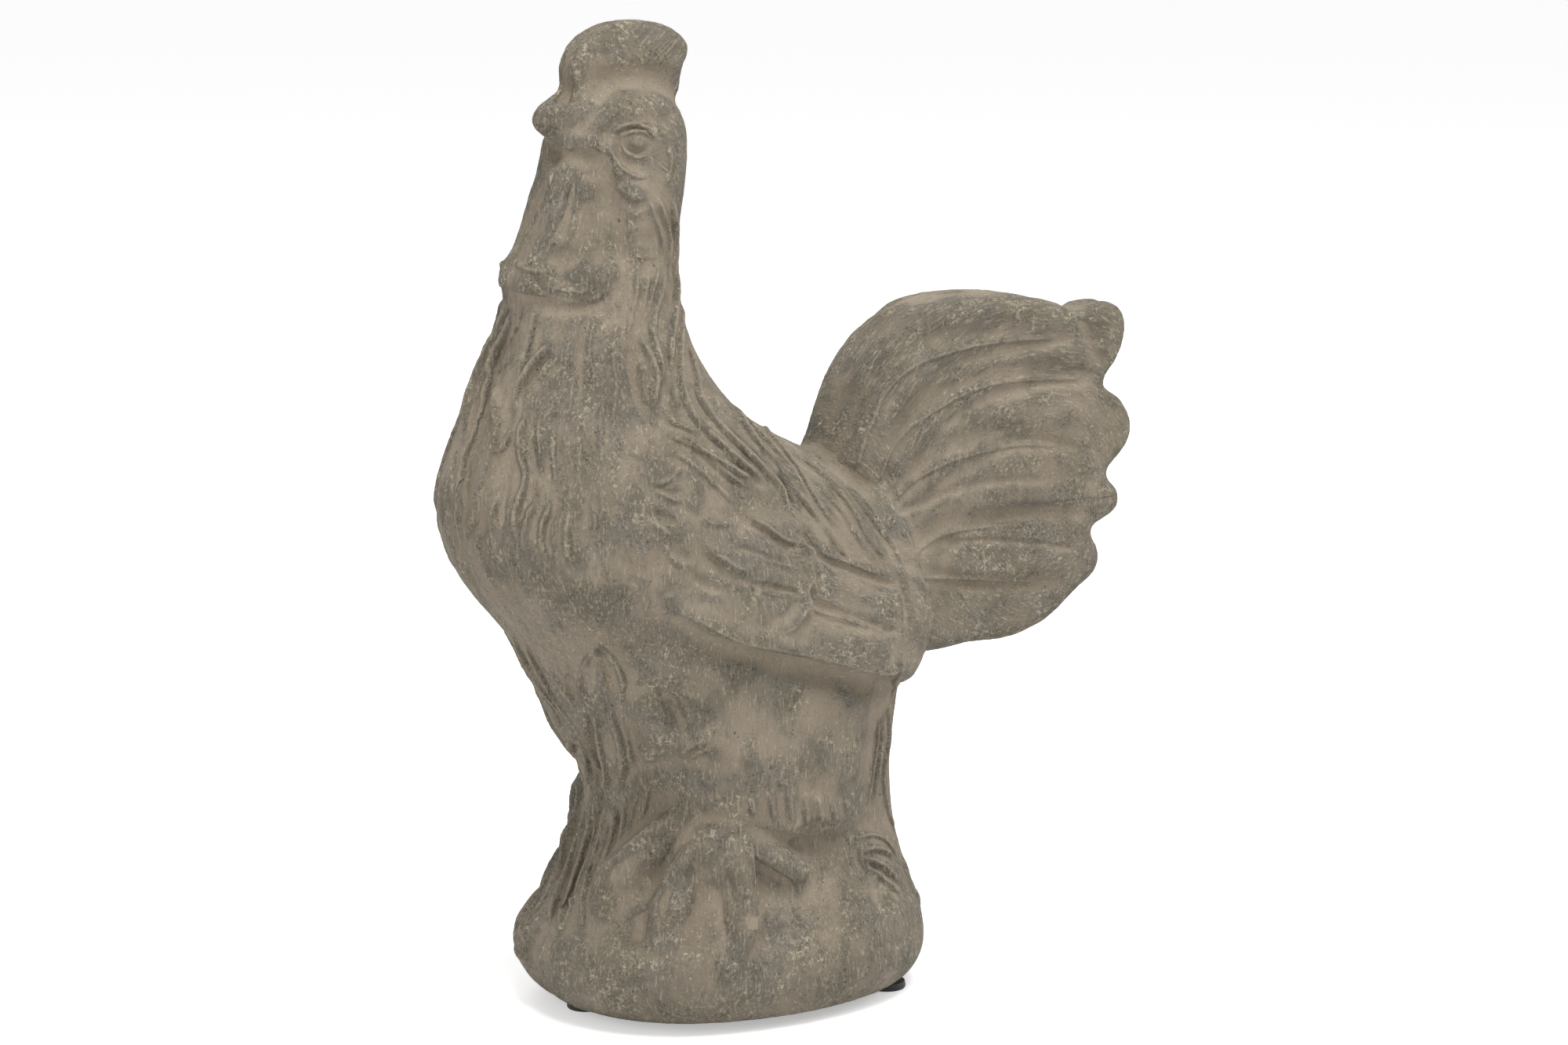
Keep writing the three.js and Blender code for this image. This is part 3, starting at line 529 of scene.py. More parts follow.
STAINS = [
    # Comb, brow, cheek and wattles
    stain(30, 0.20, 840, 55),
    stain(26, -0.15, 765, 88),
    stain(22, 0.25, 808, 248),
    stain(32, -0.25, 755, 280),
    stain(40, 0.30, 680, 355),
    stain(34, 0.25, 750, 368),
    # Neck, breast and shoulder
    stain(38, 0.20, 775, 440),
    stain(70, -0.30, 640, 500),
    stain(64, -0.30, 618, 610),
    stain(44, -0.20, 662, 415),
    stain(46, 0.15, 750, 600),
    stain(60, 0.15, 700, 760),
    stain(34, 0.15, 840, 600),
    stain(44, 0.15, 950, 620),
    stain(44, -0.20, 1085, 650),
    # Wing, belly and thigh
    stain(44, 0.15, 1000, 740),
    stain(60, 0.15, 870, 850),
    stain(44, 0.15, 960, 880),
    stain(50, -0.20, 1050, 900),
    # Base and toes
    stain(50, -0.25, 800, 1105),
    stain(28, -0.20, 850, 1150),
    stain(40, -0.20, 990, 1140),
    stain(44, 0.20, 1090, 1165),
    stain(60, 0.12, 850, 1225),
    # Tail
    stain(50, 0.20, 1235, 405),
    stain(40, -0.20, 1075, 500),
    stain(44, 0.15, 1335, 460),
    stain(60, 0.15, 1300, 715),
]


def linked_object(name, data):
    obj = bpy.data.objects.new(name, data)
    bpy.context.scene.collection.objects.link(obj)
    return obj


# Camera
def view_direction():
    azimuth = math.radians(CAMERA_AZIMUTH)
    elevation = math.radians(CAMERA_ELEVATION)
    level = math.cos(elevation)
    return Vector((math.sin(azimuth) * level, -math.cos(azimuth) * level, math.sin(elevation)))


TOWARDS_CAMERA = view_direction()
CAMERA_TARGET = Vector((cad_box[0][0] + TARGET_BEHIND_BREAST, 0, TARGET_HEIGHT))
CAMERA_PLACE = CAMERA_TARGET + CAMERA_DISTANCE * TOWARDS_CAMERA
CAMERA_TURN = TOWARDS_CAMERA.to_track_quat("Z", "Y")
PIXEL_FOCAL = LENS_MM / SENSOR_MM * PHOTO_WIDTH


def add_camera():
    data = bpy.data.cameras.new("camera")
    data.lens = LENS_MM
    data.sensor_width = SENSOR_MM
    data.sensor_fit = "HORIZONTAL"
    camera = linked_object("camera", data)
    camera.location = CAMERA_PLACE
    camera.rotation_mode = "QUATERNION"
    camera.rotation_quaternion = CAMERA_TURN
    bpy.context.scene.camera = camera


def pixel_ray(x, y):
    ray = Vector(((x - PHOTO_WIDTH / 2) / PIXEL_FOCAL, (PHOTO_HEIGHT / 2 - y) / PIXEL_FOCAL, -1))
    return (CAMERA_TURN @ ray).normalized()


# Meshes and level sets
def node_arrays(name):
    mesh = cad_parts[name].data
    mesh.calc_loop_triangles()
    points = np.empty(len(mesh.vertices) * 3, np.float32)
    mesh.vertices.foreach_get("co", points)
    faces = np.empty(len(mesh.loop_triangles) * 3, np.int32)
    mesh.loop_triangles.foreach_get("vertices", faces)
    return points.reshape(-1, 3), faces.reshape(-1, 3).astype(np.uint32)


def level_set(points, **faces):
    return openvdb.FloatGrid.createLevelSetFromPolygons(
        points, transform=openvdb.createLinearTransform(voxelSize=VOXEL), halfWidth=BAND_VOXELS, **faces)


def node_level_set(name):
    points, faces = node_arrays(name)
    return level_set(points, triangles=faces)


def dense(grid, size, corner):
    block = np.empty(size, np.float32)
    grid.copyToArray(block, ijk=corner)
    return block


# Signed distances to the two castings together, with their hollow, on a dense grid
def casting_distances():
    grids = [node_level_set(name) for name in ("left_shell", "right_shell")]
    low = np.min([grid.evalActiveVoxelBoundingBox()[0] for grid in grids], axis=0)
    high = np.max([grid.evalActiveVoxelBoundingBox()[1] for grid in grids], axis=0)
    corner = tuple(int(n) for n in low)
    size = tuple(int(n) for n in high - low + 1)
    distances = np.full(size, BAND_VOXELS * VOXEL, np.float32)
    for grid in grids:
        np.minimum(distances, dense(grid, size, corner), out=distances)
    return distances, corner


def surrounded(solid, axis):
    before = np.maximum.accumulate(solid, axis=axis)
    after = np.flip(np.maximum.accumulate(np.flip(solid, axis), axis=axis), axis)
    return before & after


# Distances to the castings' outer form alone: whatever is walled in on all sides and from above is filled,
# and the distances are taken again from the surface that is left.
def outer_distances(distances, corner):
    solid = distances < 0
    above = np.flip(np.maximum.accumulate(np.flip(solid, 2), axis=2), 2)
    hollow = surrounded(solid, 0) & surrounded(solid, 1) & above & ~solid
    heights = (corner[2] + np.arange(distances.shape[2])) * VOXEL
    filling = np.broadcast_to(np.maximum(UNDERSIDE - heights, -VOXEL), distances.shape)
    points, quads = surface_of(np.where(hollow, filling, distances).astype(np.float32), corner)
    grid = level_set(points.astype(np.float32), quads=quads.astype(np.uint32))
    return dense(grid, distances.shape, corner)


def blur(values, sigma):
    reach = math.ceil(2.5 * sigma)
    weights = np.exp(-0.5 * (np.arange(-reach, reach + 1) / sigma) ** 2)
    weights /= weights.sum()
    for axis in range(3):
        padded = np.pad(values, [(reach, reach) if a == axis else (0, 0) for a in range(3)], mode="edge")
        total = np.zeros_like(values)
        for step, weight in enumerate(weights):
            part = [slice(None)] * 3
            part[axis] = slice(step, step + values.shape[axis])
            total += np.float32(weight) * padded[tuple(part)]
        values = total
    return values


def surface_of(distances, corner, level=0.0):
    grid = openvdb.FloatGrid(BAND_VOXELS * VOXEL)
    grid.transform = openvdb.createLinearTransform(voxelSize=VOXEL)
    grid.gridClass = openvdb.GridClass.LEVEL_SET
    grid.copyFromArray(distances, ijk=corner)
    points, quads = grid.convertToQuads(level)
    return points, quads[:, ::-1]


def mesh_from(name, points, quads):
    mesh = bpy.data.meshes.new(name)
    mesh.vertices.add(len(points))
    mesh.vertices.foreach_set("co", points.astype(np.float32).ravel())
    mesh.loops.add(quads.size)
    mesh.loops.foreach_set("vertex_index", quads.astype(np.int32).ravel())
    mesh.polygons.add(len(quads))
    mesh.polygons.foreach_set("loop_start", np.arange(0, quads.size, 4, dtype=np.int32))
    mesh.update(calc_edges=True)
    return mesh


def coordinates(mesh):
    values = np.empty(len(mesh.vertices) * 3, np.float32)
    mesh.vertices.foreach_get("co", values)
    return values.reshape(-1, 3).astype(np.float64)


def normals(mesh):
    values = np.empty(len(mesh.vertices) * 3, np.float32)
    mesh.vertex_normals.foreach_get("vector", values)
    return values.reshape(-1, 3).astype(np.float64)


def move_to(mesh, points):
    mesh.vertices.foreach_set("co", points.astype(np.float32).ravel())
    mesh.update()


# Sculpting
def smoothstep(low, high, values):
    t = np.clip((values - low) / (high - low), 0, 1)
    return t * t * (3 - 2 * t)


# Points along a smooth line through the given pixels, each cast on the surface
STEP_PIXELS = 7
SEGMENTS_AT_ONCE = 6


def trace(points):
    line = []
    ends = [points[0], *points, points[-1]]
    for a, b, c, d in zip(ends, ends[1:], ends[2:], ends[3:]):
        a, b, c, d = (np.array(p, float) for p in (a, b, c, d))
        count = max(1, round(np.linalg.norm(c - b) / STEP_PIXELS))
        for t in np.arange(count) / count:
            line.append(0.5 * (2 * b + (c - a) * t + (2 * a - 5 * b + 4 * c - d) * t ** 2
                               + (3 * b - a - 3 * c + d) * t ** 3))
    line.append(np.array(points[-1], float))
    return line


def on_surface(tree, points):
    hits = []
    for x, y in trace(points):
        place, normal, _, _ = tree.ray_cast(CAMERA_PLACE, pixel_ray(x, y))
        if place is not None:
            hits.append((*place, *normal))
    return np.array(hits)


# A stain's middle on the surface and its radius there
def stain_place(tree, spot):
    place, _, _, _ = tree.ray_cast(CAMERA_PLACE, pixel_ray(*spot["pixel"]))
    distance = (place - CAMERA_PLACE).length
    return np.array(place), spot["radius"] / PIXEL_FOCAL * distance, spot["amount"]


def inside_box(points, line, margin):
    low = line[:, :3].min(0) - margin
    high = line[:, :3].max(0) + margin
    return np.flatnonzero(((points > low) & (points < high)).all(1))


# How far points lie from the segments of a line, on which side, and how far along it from its start
def near_segments(points, line):
    starts = line[:-1, :3]
    runs = line[1:, :3] - starts
    squares = np.maximum((runs ** 2).sum(1), 1e-12)
    offset = points[:, None] - starts[None]
    along = np.clip((offset * runs).sum(2) / squares, 0, 1)
    gap = offset - along[..., None] * runs
    distances = np.sqrt((gap ** 2).sum(2))
    nearest = distances.argmin(1)
    rows = np.arange(len(points))
    side = np.cross(line[nearest, 3:], runs[nearest])
    side /= np.maximum(np.linalg.norm(side, axis=1), 1e-9)[:, None]
    lengths = np.sqrt(squares)
    travelled = np.concatenate([[0], np.cumsum(lengths)])
    place_along = travelled[nearest] + along[rows, nearest] * lengths[nearest]
    return distances[rows, nearest], (gap[rows, nearest] * side).sum(1), place_along, travelled[-1]


# The same for a whole line, worked out a few segments at a time, within its width alone
def near_line(points, line, width):
    distance = np.full(len(points), np.inf)
    signed = np.zeros(len(points))
    along = np.zeros(len(points))
    length = 0.0
    for start in range(0, len(line) - 1, SEGMENTS_AT_ONCE):
        part = line[start:start + SEGMENTS_AT_ONCE + 1]
        rows = inside_box(points, part, width)
        gap, side, ahead, part_length = near_segments(points[rows], part)
        better = gap < distance[rows]
        rows = rows[better]
        distance[rows] = gap[better]
        signed[rows] = side[better]
        along[rows] = length + ahead[better]
        length += part_length
    return distance, signed, along, length


# A fold's drop is spread over this width, and a crest lies between shallow moats.
DROP = 0.9 * MM
CREST_MOAT = 0.6

# A stroke fades out at its ends over so many widths, but at most over this share of its length. It isn't quite
# gone at its very end, but would be this share of the fade further on.
FADE_WIDTHS = 2
FADE_SHARE = 0.3
FADE_BEYOND = 0.3

# A stroke is at its full height where the surface faces the way its line does, by at least this much.
FULL_FACING = 0.5

# On the right side, what the camera sees is fully the photograph's from this facing on.
SHOWN_FACING = 0.25


def profile(kind, distance, signed, width):
    share = np.clip(distance / width, 0, 1)
    if kind == "crest":
        return (1 + CREST_MOAT) * (1 - share ** 2) ** 4 - CREST_MOAT * (1 - share ** 2) ** 1.5
    if kind == "cut":
        return (1 - share ** 2) ** 2
    if kind == "mound":
        return 0.5 + 0.5 * np.cos(math.pi * share)
    return (1 - share) ** 1.5 * smoothstep(-DROP, DROP, signed)


# Heights of all strokes over the surface, at points with the given normals
def carve(points, facing, lines):
    forms = np.zeros(len(points))
    crests = np.zeros(len(points))
    cuts = np.zeros(len(points))
    for stroke, line in lines:
        width = stroke["width"]
        near = inside_box(points, line, width)
        if not len(near):
            continue
        distance, signed, along, length = near_line(points[near], line, width)
        close = distance < width
        near = near[close]
        distance, signed, along = distance[close], signed[close], along[close]
        ends = 1
        if stroke["kind"] != "mound":
            fade = min(FADE_WIDTHS * width, FADE_SHARE * length)
            ends = smoothstep(-FADE_BEYOND * fade, fade, np.minimum(along, length - along))
        agree = smoothstep(0, FULL_FACING, facing[near] @ line[:, 3:].mean(0))
        height = stroke["height"] * profile(stroke["kind"], distance, signed, width) * ends * agree
        if stroke["kind"] == "crest":
            crests[near] = np.maximum(crests[near], height)
        elif stroke["kind"] == "cut":
            cuts[near] = np.maximum(cuts[near], height)
        else:
            forms[near] += height
    return forms + crests - cuts


# The right side mirrors the left where the photograph doesn't show it.
def stroke_heights(points, facing, lines):
    seen = carve(points, facing, lines)
    other = points[:, 1] > 0
    flip = np.array([1, -1, 1])
    mirrored = carve(points[other] * flip, facing[other] * flip, lines)
    shown = smoothstep(0.0, SHOWN_FACING, facing[other] @ np.array(TOWARDS_CAMERA))
    heights = seen.copy()
    heights[other] = shown * seen[other] + (1 - shown) * mirrored
    return heights


# Smooth noise between 0 and 1 from a seeded block of random numbers, at one grain size. The offset keeps the
# cells' numbers positive.
NOISE_CELLS = 48
NOISE_OFFSET = 1000.37


def noise(points, grain, seed, stretch=(1, 1, 1)):
    block = np.random.default_rng(SEED + seed).random((NOISE_CELLS,) * 3)
    scaled = points / (grain * np.array(stretch)) + NOISE_OFFSET
    cell = np.floor(scaled).astype(int)
    t = scaled - cell
    t = t * t * (3 - 2 * t)
    total = np.zeros(len(points))
    for corner in np.ndindex(2, 2, 2):
        index = (cell + corner) % NOISE_CELLS
        weight = np.where(corner, t, 1 - t).prod(1)
        total += weight * block[index[:, 0], index[:, 1], index[:, 2]]
    return total


def layered_noise(points, grain, seed, layers=3, stretch=(1, 1, 1)):
    total = sum(noise(points, grain / 2 ** n, seed + n, stretch) / 2 ** n for n in range(layers))
    return total / (2 - 2 ** (1 - layers))


# Mean of each vertex's neighbours
def neighbour_mean(values, edges, counts):
    columns = []
    for column in values.reshape(len(values), -1).T:
        total = np.bincount(edges[:, 0], column[edges[:, 1]], len(values))
        total += np.bincount(edges[:, 1], column[edges[:, 0]], len(values))
        columns.append(total / counts)
    return np.array(columns).T.reshape(values.shape)


def edge_arrays(mesh):
    edges = np.empty(len(mesh.edges) * 2, np.int32)
    mesh.edges.foreach_get("vertices", edges)
    edges = edges.reshape(-1, 2)
    counts = np.maximum(np.bincount(edges.ravel(), minlength=len(mesh.vertices)), 1)
    return edges, counts


# Splits the faces that the camera sees in four.
def refine_seen_side(mesh):
    shape = bmesh.new()
    shape.from_mesh(mesh)
    seen = [edge for edge in shape.edges if all(
        vertex.normal.dot(TOWARDS_CAMERA) > FINE_FACING for vertex in edge.verts)]
    bmesh.ops.subdivide_edges(shape, edges=seen, cuts=1, use_grid_fill=True)
    shape.to_mesh(mesh)
    shape.free()


# How far inside the castings the carved surface starts, for each column of the grid along Y
def slimming(corner, size):
    x = ((corner[0] + np.arange(size[0])) * VOXEL - cad_box[0][0])[:, None, None]
    z = ((corner[2] + np.arange(size[2])) * VOXEL)[None, None]
    total = np.full((size[0], 1, size[2]), SLIMMER)
    for amount, low, high, reach in SLIMMED_MORE:
        ease = SLIMMING_EASE * (high - low)
        level = smoothstep(low, low + ease, z) * (1 - smoothstep(high - ease, high, z))
        total = total + amount * level * (1 - smoothstep(0.5 * reach, reach, x))
    return total.astype(np.float32)


# Smooths the castings' own feathers at the front of the neck.
def smooth_front(distances, corner):
    columns = math.ceil((cad_box[0][0] + FRONT_REACH) / VOXEL) - corner[0]
    low = math.floor(FRONT_LOW / VOXEL) - corner[2]
    high = math.ceil(FRONT_HIGH / VOXEL) - corner[2]
    part = distances[:columns, :, low:high]
    x = ((corner[0] + np.arange(columns)) * VOXEL - cad_box[0][0])[:, None, None]
    z = ((corner[2] + np.arange(low, high)) * VOXEL)[None, None]
    share = 1 - smoothstep(0.6 * FRONT_REACH, FRONT_REACH, x)
    share = share * smoothstep(FRONT_LOW, FRONT_LOW + FRONT_LOW_EASE, z)
    share = share * (1 - smoothstep(FRONT_HIGH - FRONT_HIGH_EASE, FRONT_HIGH, z))
    part += share.astype(np.float32) * (blur(part, FRONT_SMOOTHING / VOXEL) - part)


# Keeps cement over the strap, the rod and the floor plate, whatever the slimming takes.
def cover_inner_pieces(distances, corner):
    for name in ("seam_strap", "tail_rod", "floor_plate"):
        block = dense(node_level_set(name), distances.shape, corner)
        np.minimum(distances, block - np.float32(COVER), out=distances)


# Adds the beak's cone to the distances, blended in softly.
def add_beak(distances, corner):
    low = np.array((BEAK_TIP.x - BEAK_AHEAD, -BEAK_BESIDE, BEAK_TIP.z - BEAK_BESIDE))
    high = np.array((BEAK_ROOT_X + BEAK_BEHIND, BEAK_BESIDE, BEAK_TIP.z + BEAK_BESIDE))
    low = np.floor(low / VOXEL).astype(int) - corner
    high = np.ceil(high / VOXEL).astype(int) - corner
    low = np.maximum(low, 0)
    high = np.minimum(high, distances.shape)
    x, y, z = (((np.arange(low[n], high[n]) + corner[n]) * VOXEL) for n in range(3))
    x = x[:, None, None]
    y = y[None, :, None] / BEAK_NARROWNESS
    z = z[None, None] - BEAK_TIP.z
    across = np.sqrt(y ** 2 + z ** 2 + BEAK_ROUNDING ** 2) - BEAK_ROUNDING
    cone = (across - BEAK_SPREAD * (x - BEAK_TIP.x)) / math.hypot(1, BEAK_SPREAD)
    cone = np.maximum(cone, x - BEAK_ROOT_X)
    part = distances[low[0]:high[0], low[1]:high[1], low[2]:high[2]]
    overlap = np.maximum(BEAK_BLEND - np.abs(part - cone), 0) / BEAK_BLEND
    part[...] = np.minimum(part, cone) - 0.25 * BEAK_BLEND * overlap ** 2


def sculpted_figure():
    distances, corner = casting_distances()
    outer = blur(outer_distances(distances, corner), SMOOTHING / VOXEL)
    smooth_front(outer, corner)
    outer += slimming(corner, outer.shape)
    cover_inner_pieces(outer, corner)
    add_beak(outer, np.array(corner))
    heights = (corner[2] + np.arange(outer.shape[2])) * VOXEL
    outer = np.maximum(outer, (UNDERSIDE - heights).astype(np.float32))
    points, quads = surface_of(outer, corner)
    points[:, 2] += COMB_RISE * smoothstep(COMB_LOW, COMB_HIGH, points[:, 2])
    mesh = mesh_from("sculpted", points, quads)
    tree = BVHTree.FromPolygons(points.tolist(), quads.tolist())
    lines = [(stroke, on_surface(tree, stroke["points"])) for stroke in STROKES]
    lines = [(stroke, line) for stroke, line in lines if len(line) > 1]
    spots = [stain_place(tree, spot) for spot in STAINS]
    refine_seen_side(mesh)
    edges, counts = edge_arrays(mesh)
    places = coordinates(mesh)
    facing = normals(mesh)
    free = smoothstep(UNDERSIDE, UNDERSIDE + EDGE_AT_UNDERSIDE, places[:, 2])
    relief = RELIEF * stroke_heights(places, facing, lines)
    lumps = LUMP_HEIGHT * (layered_noise(places, LUMP_GRAIN, 1) - 0.5)
    move_to(mesh, places + facing * (free * (relief + lumps))[:, None])
    return mesh, edges, counts, free, spots, (outer, corner)


# Fine relief and masks: heights, and the grain of each noise
ROUGH_HEIGHT = 0.40 * MM
STREAK_HEIGHT = 0.32 * MM
PIT_DEPTH = 0.3 * MM
PATCH_GRAIN = 24 * MM
PATCH_STREAK_GRAIN = 6 * MM
STREAK_GRAIN = 3.4 * MM
RAGGED_GRAIN = 2.6 * MM
PIT_GRAIN = 2.4 * MM

# The cement turns from smooth to rough, and pits open, between these values of their noise.
ROUGH_FROM = -0.20
ROUGH_TO = 0.24
PIT_FROM = 0.72
PIT_TO = 0.80

# Hollowness is averaged over neighbours so many times, and then told to the material enlarged.
BROAD_ROUNDS = 30
HOLLOW_ROUNDS = 20
CREASE_ROUNDS = 3
HOLLOW_SMOOTHNESS = 8.0
HOLLOW_GAIN = 4
CREASE_GAIN = 2

# The figure is eased into the CAD model's box over this length, up to this clearance.
EASE_LENGTH = 60 * MM
BOX_CLEARANCE = 0.1 * MM

# Where the feathers turn, in metres behind the breast and over the ground
NECK_FRONT = 0.20
NECK_BACK = 0.25
WAIST_LOW = 0.14
WAIST_HIGH = 0.18
WING_FRONT = 0.13
WING_BACK = 0.18
WING_LOW = 0.21
WING_HIGH = 0.27
TAIL_ROOT = 0.262
TAIL_EASE = 0.02
TAIL_SLOPE = 0.72
TAIL_CENTRE = (0.33, 0.24)
TAIL_RADIUS = 0.08

# The way across the feathers in X and Z, over the shoulder and over the wing
SLANTED_ACROSS = (0.66, 0.75)
LEVEL_ACROSS = (0.25, 0.97)


# Keeps the figure inside the CAD model's box: what would pass it moves in, and less so further from the edge.
def ease_into_box(points):
    eased = points.copy()
    for axis in range(3):
        for sign, edge in ((-1, cad_box[0][axis]), (1, cad_box[1][axis])):
            outward = sign * points[:, axis]
            over = outward.max() - (sign * edge - BOX_CLEARANCE)
            if over > 0:
                share = smoothstep(outward.max() - EASE_LENGTH, outward.max(), outward)
                eased[:, axis] -= sign * over * share
    return eased


# How hollow the surface is at each vertex, in mean bends over a few edges: positive in a valley
def hollowness(mesh, edges, counts, rounds):
    places = coordinates(mesh)
    squares = ((places[edges[:, 0]] - places[edges[:, 1]]) ** 2).sum(1)
    sums = np.bincount(edges[:, 0], squares, len(places)) + np.bincount(edges[:, 1], squares, len(places))
    squares = sums / counts
    bend = ((neighbour_mean(places, edges, counts) - places) * normals(mesh)).sum(1) * VOXEL
    bend /= np.maximum(squares, (0.2 * VOXEL) ** 2)
    for _ in range(rounds):
        bend = neighbour_mean(bend, edges, counts)
    return bend


def set_vector_attribute(mesh, name, values):
    attribute = mesh.attributes.new(name, "FLOAT_VECTOR", "POINT")
    attribute.data.foreach_set("vector", values.astype(np.float32).ravel())


def set_attribute(mesh, name, values):
    attribute = mesh.attributes.new(name, "FLOAT", "POINT")
    attribute.data.foreach_set("value", values.astype(np.float32))


def turned_flow(x, y, z, across):
    return np.stack([across[0] * x + across[1] * z, across[1] * x - across[0] * z, y], 1)


# Coordinates across, along and through the feathers, with the share that each set has in the surface there:
# down the neck and the base, slantwise over the shoulder, back along the wing, and in arcs over the tail
def feather_flows(points):
    x = points[:, 0] - cad_box[0][0]
    y = points[:, 1]
    z = points[:, 2]
    upper = smoothstep(WAIST_LOW, WAIST_HIGH, z)
    leaning_x = x + TAIL_SLOPE * np.maximum(z - TAIL_CENTRE[1], 0)
    tail = smoothstep(TAIL_ROOT, TAIL_ROOT + TAIL_EASE, leaning_x) * upper
    wing = smoothstep(WING_FRONT, WING_BACK, x) * upper * smoothstep(WING_HIGH, WING_LOW, z) * (1 - tail)
    shoulder = smoothstep(NECK_FRONT, NECK_BACK, x + 0.3 * z) * upper * (1 - tail - wing)
    down = np.stack([1.2 * y - 0.9 * x, z, 0.6 * x], 1)
    tail_x = x - TAIL_CENTRE[0]
    tail_z = z - TAIL_CENTRE[1]
    arcs = np.stack([np.hypot(tail_x, tail_z), TAIL_RADIUS * np.arctan2(tail_z, -tail_x), y], 1)
    return {
        "down": (1 - shoulder - wing - tail, down),
        "slanted": (shoulder, turned_flow(x, y, z, SLANTED_ACROSS)),
        "level": (wing, turned_flow(x, y, z, LEVEL_ACROSS)),
        "arcs": (tail, arcs)}


def along_feathers(points, grain, seed, layers, stretch):
    total = np.zeros(len(points))
    for share, places in feather_flows(points).values():
        rows = np.flatnonzero(share > 0.01)
        total[rows] += share[rows] * layered_noise(places[rows], grain, seed, layers, stretch)
    return total


# How rough the stains make the surface: each fades out around its middle.
def stained(places, spots):
    total = np.zeros(len(places))
    for middle, radius, amount in spots:
        distance = np.sqrt(((places - middle) ** 2).sum(1))
        total += amount * (1 - smoothstep(0.3 * radius, radius, distance))
    return total


# Rough patches where the surface is raised or stained, smooth ones in hollows, and streaks along the feathers
def add_fine_relief(mesh, edges, counts, free, spots):
    broad = hollowness(mesh, edges, counts, BROAD_ROUNDS)
    places = coordinates(mesh)
    patches = layered_noise(places, PATCH_GRAIN, 20, 5, (1, 1, 0.8)) - 0.5 + stained(places, spots)
    patches += 0.5 * (along_feathers(places, PATCH_STREAK_GRAIN, 25, 3, (1, 3.5, 1)) - 0.5)
    rough = smoothstep(ROUGH_FROM, ROUGH_TO, patches - HOLLOW_SMOOTHNESS * broad)
    streaks = along_feathers(places, STREAK_GRAIN, 30, 3, (1, 6, 1))
    ragged = layered_noise(places, RAGGED_GRAIN, 40, 2) - 0.5
    pits = smoothstep(PIT_FROM, PIT_TO, layered_noise(places, PIT_GRAIN, 50, 2)) * rough
    height = STREAK_HEIGHT * (0.3 + 0.7 * rough) * (0.3 - np.abs(2 * streaks - 1))
    height += ROUGH_HEIGHT * rough * ragged - PIT_DEPTH * pits
    move_to(mesh, places + normals(mesh) * (free * height)[:, None])
    move_to(mesh, ease_into_box(coordinates(mesh)))
    # From these two, the material paints shade, together with dirt, into the hollows and creases, and a
    # highlight, together with wear, onto the crests.
    set_attribute(mesh, "hollow", HOLLOW_GAIN * hollowness(mesh, edges, counts, HOLLOW_ROUNDS))
    set_attribute(mesh, "crease", CREASE_GAIN * hollowness(mesh, edges, counts, CREASE_ROUNDS))
    set_attribute(mesh, "rough", rough)
    flows = feather_flows(coordinates(mesh))
    for name in ("slanted", "level", "arcs"):
        set_attribute(mesh, name, flows[name][0])
    set_vector_attribute(mesh, "arc_place", flows["arcs"][1])


def add_object(name, mesh, replaced):
    obj = linked_object(name, mesh)
    mesh.shade_smooth()
    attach(obj, "root")
    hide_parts(replaced)
    return obj


WELD = 0.002 * MM


def merged_copy(node):
    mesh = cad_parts[node].data.copy()
    shape = bmesh.new()
    shape.from_mesh(mesh)
    bmesh.ops.remove_doubles(shape, verts=shape.verts, dist=WELD)
    shape.to_mesh(mesh)
    shape.free()
    return mesh


def cut_away(obj, tools):
    for tool in tools:
        modifier = obj.modifiers.new("cut", "BOOLEAN")
        modifier.operation = "DIFFERENCE"
        modifier.solver = "MANIFOLD"
        modifier.object = tool
    bpy.context.view_layer.update()
    evaluated = obj.evaluated_get(bpy.context.evaluated_depsgraph_get())
    return bpy.data.meshes.new_from_object(evaluated)


# A block that takes away one side of the middle plane
BLOCK_SIZE = 1


def side_block(sign):
    shape = bmesh.new()
    bmesh.ops.create_cube(shape, size=BLOCK_SIZE)
    bmesh.ops.translate(shape, verts=shape.verts, vec=(0, BLOCK_SIZE / 2 * sign, BLOCK_SIZE / 4))
    mesh = bpy.data.meshes.new("side")
    shape.to_mesh(mesh)
    shape.free()
    return linked_object("side", mesh)


# The castings' own hollow, floor pocket and rod channel, from a skin's depth inwards and out at the bottom
def hollow_core(outer, corner):
    inner = outer.copy()
    level = round((UNDERSIDE + 2 * SKIN) / VOXEL) - corner[2]
    inner[:, :, :level] = inner[:, :, level:level + 1]
    inner[:, :, 0] = BAND_VOXELS * VOXEL
    points, quads = surface_of(inner, corner, -SKIN)
    block = linked_object("core", mesh_from("core", points, quads))
    shells = [linked_object("shell", merged_copy(name)) for name in ("left_shell", "right_shell")]
    core = linked_object("hollow", cut_away(block, shells))
    for obj in [block, *shells]:
        bpy.data.objects.remove(obj)
    return core


def add_castings():
    mesh, edges, counts, free, spots, grid = sculpted_figure()
    add_fine_relief(mesh, edges, counts, free, spots)
    figure = linked_object("figure", mesh)
    core = hollow_core(*grid)
    halves = []
    for name, node, sign in (("left_casting", "left_shell", 1), ("right_casting", "right_shell", -1)):
        block = side_block(sign)
        half = cut_away(figure, [core, block])
        figure.modifiers.clear()
        half.name = name
        obj = add_object(name, half, node)
        half.set_sharp_from_angle(angle=math.radians(CASTING_SHARP_ANGLE))
        halves.append(obj)
        bpy.data.objects.remove(block)
    bpy.data.objects.remove(figure)
    bpy.data.objects.remove(core)
    return halves


# Rubber pad, turned from its profile: rounded rim, and a dish in the face that stands on the ground
PAD_STEPS = 56
PAD_DISH = 0.5 * MM
PAD_DISH_FOOT = 0.1 * MM
PAD_RIM = 0.9 * MM
PAD_RIM_STEPS = 5
PAD_WELD = 0.01 * MM


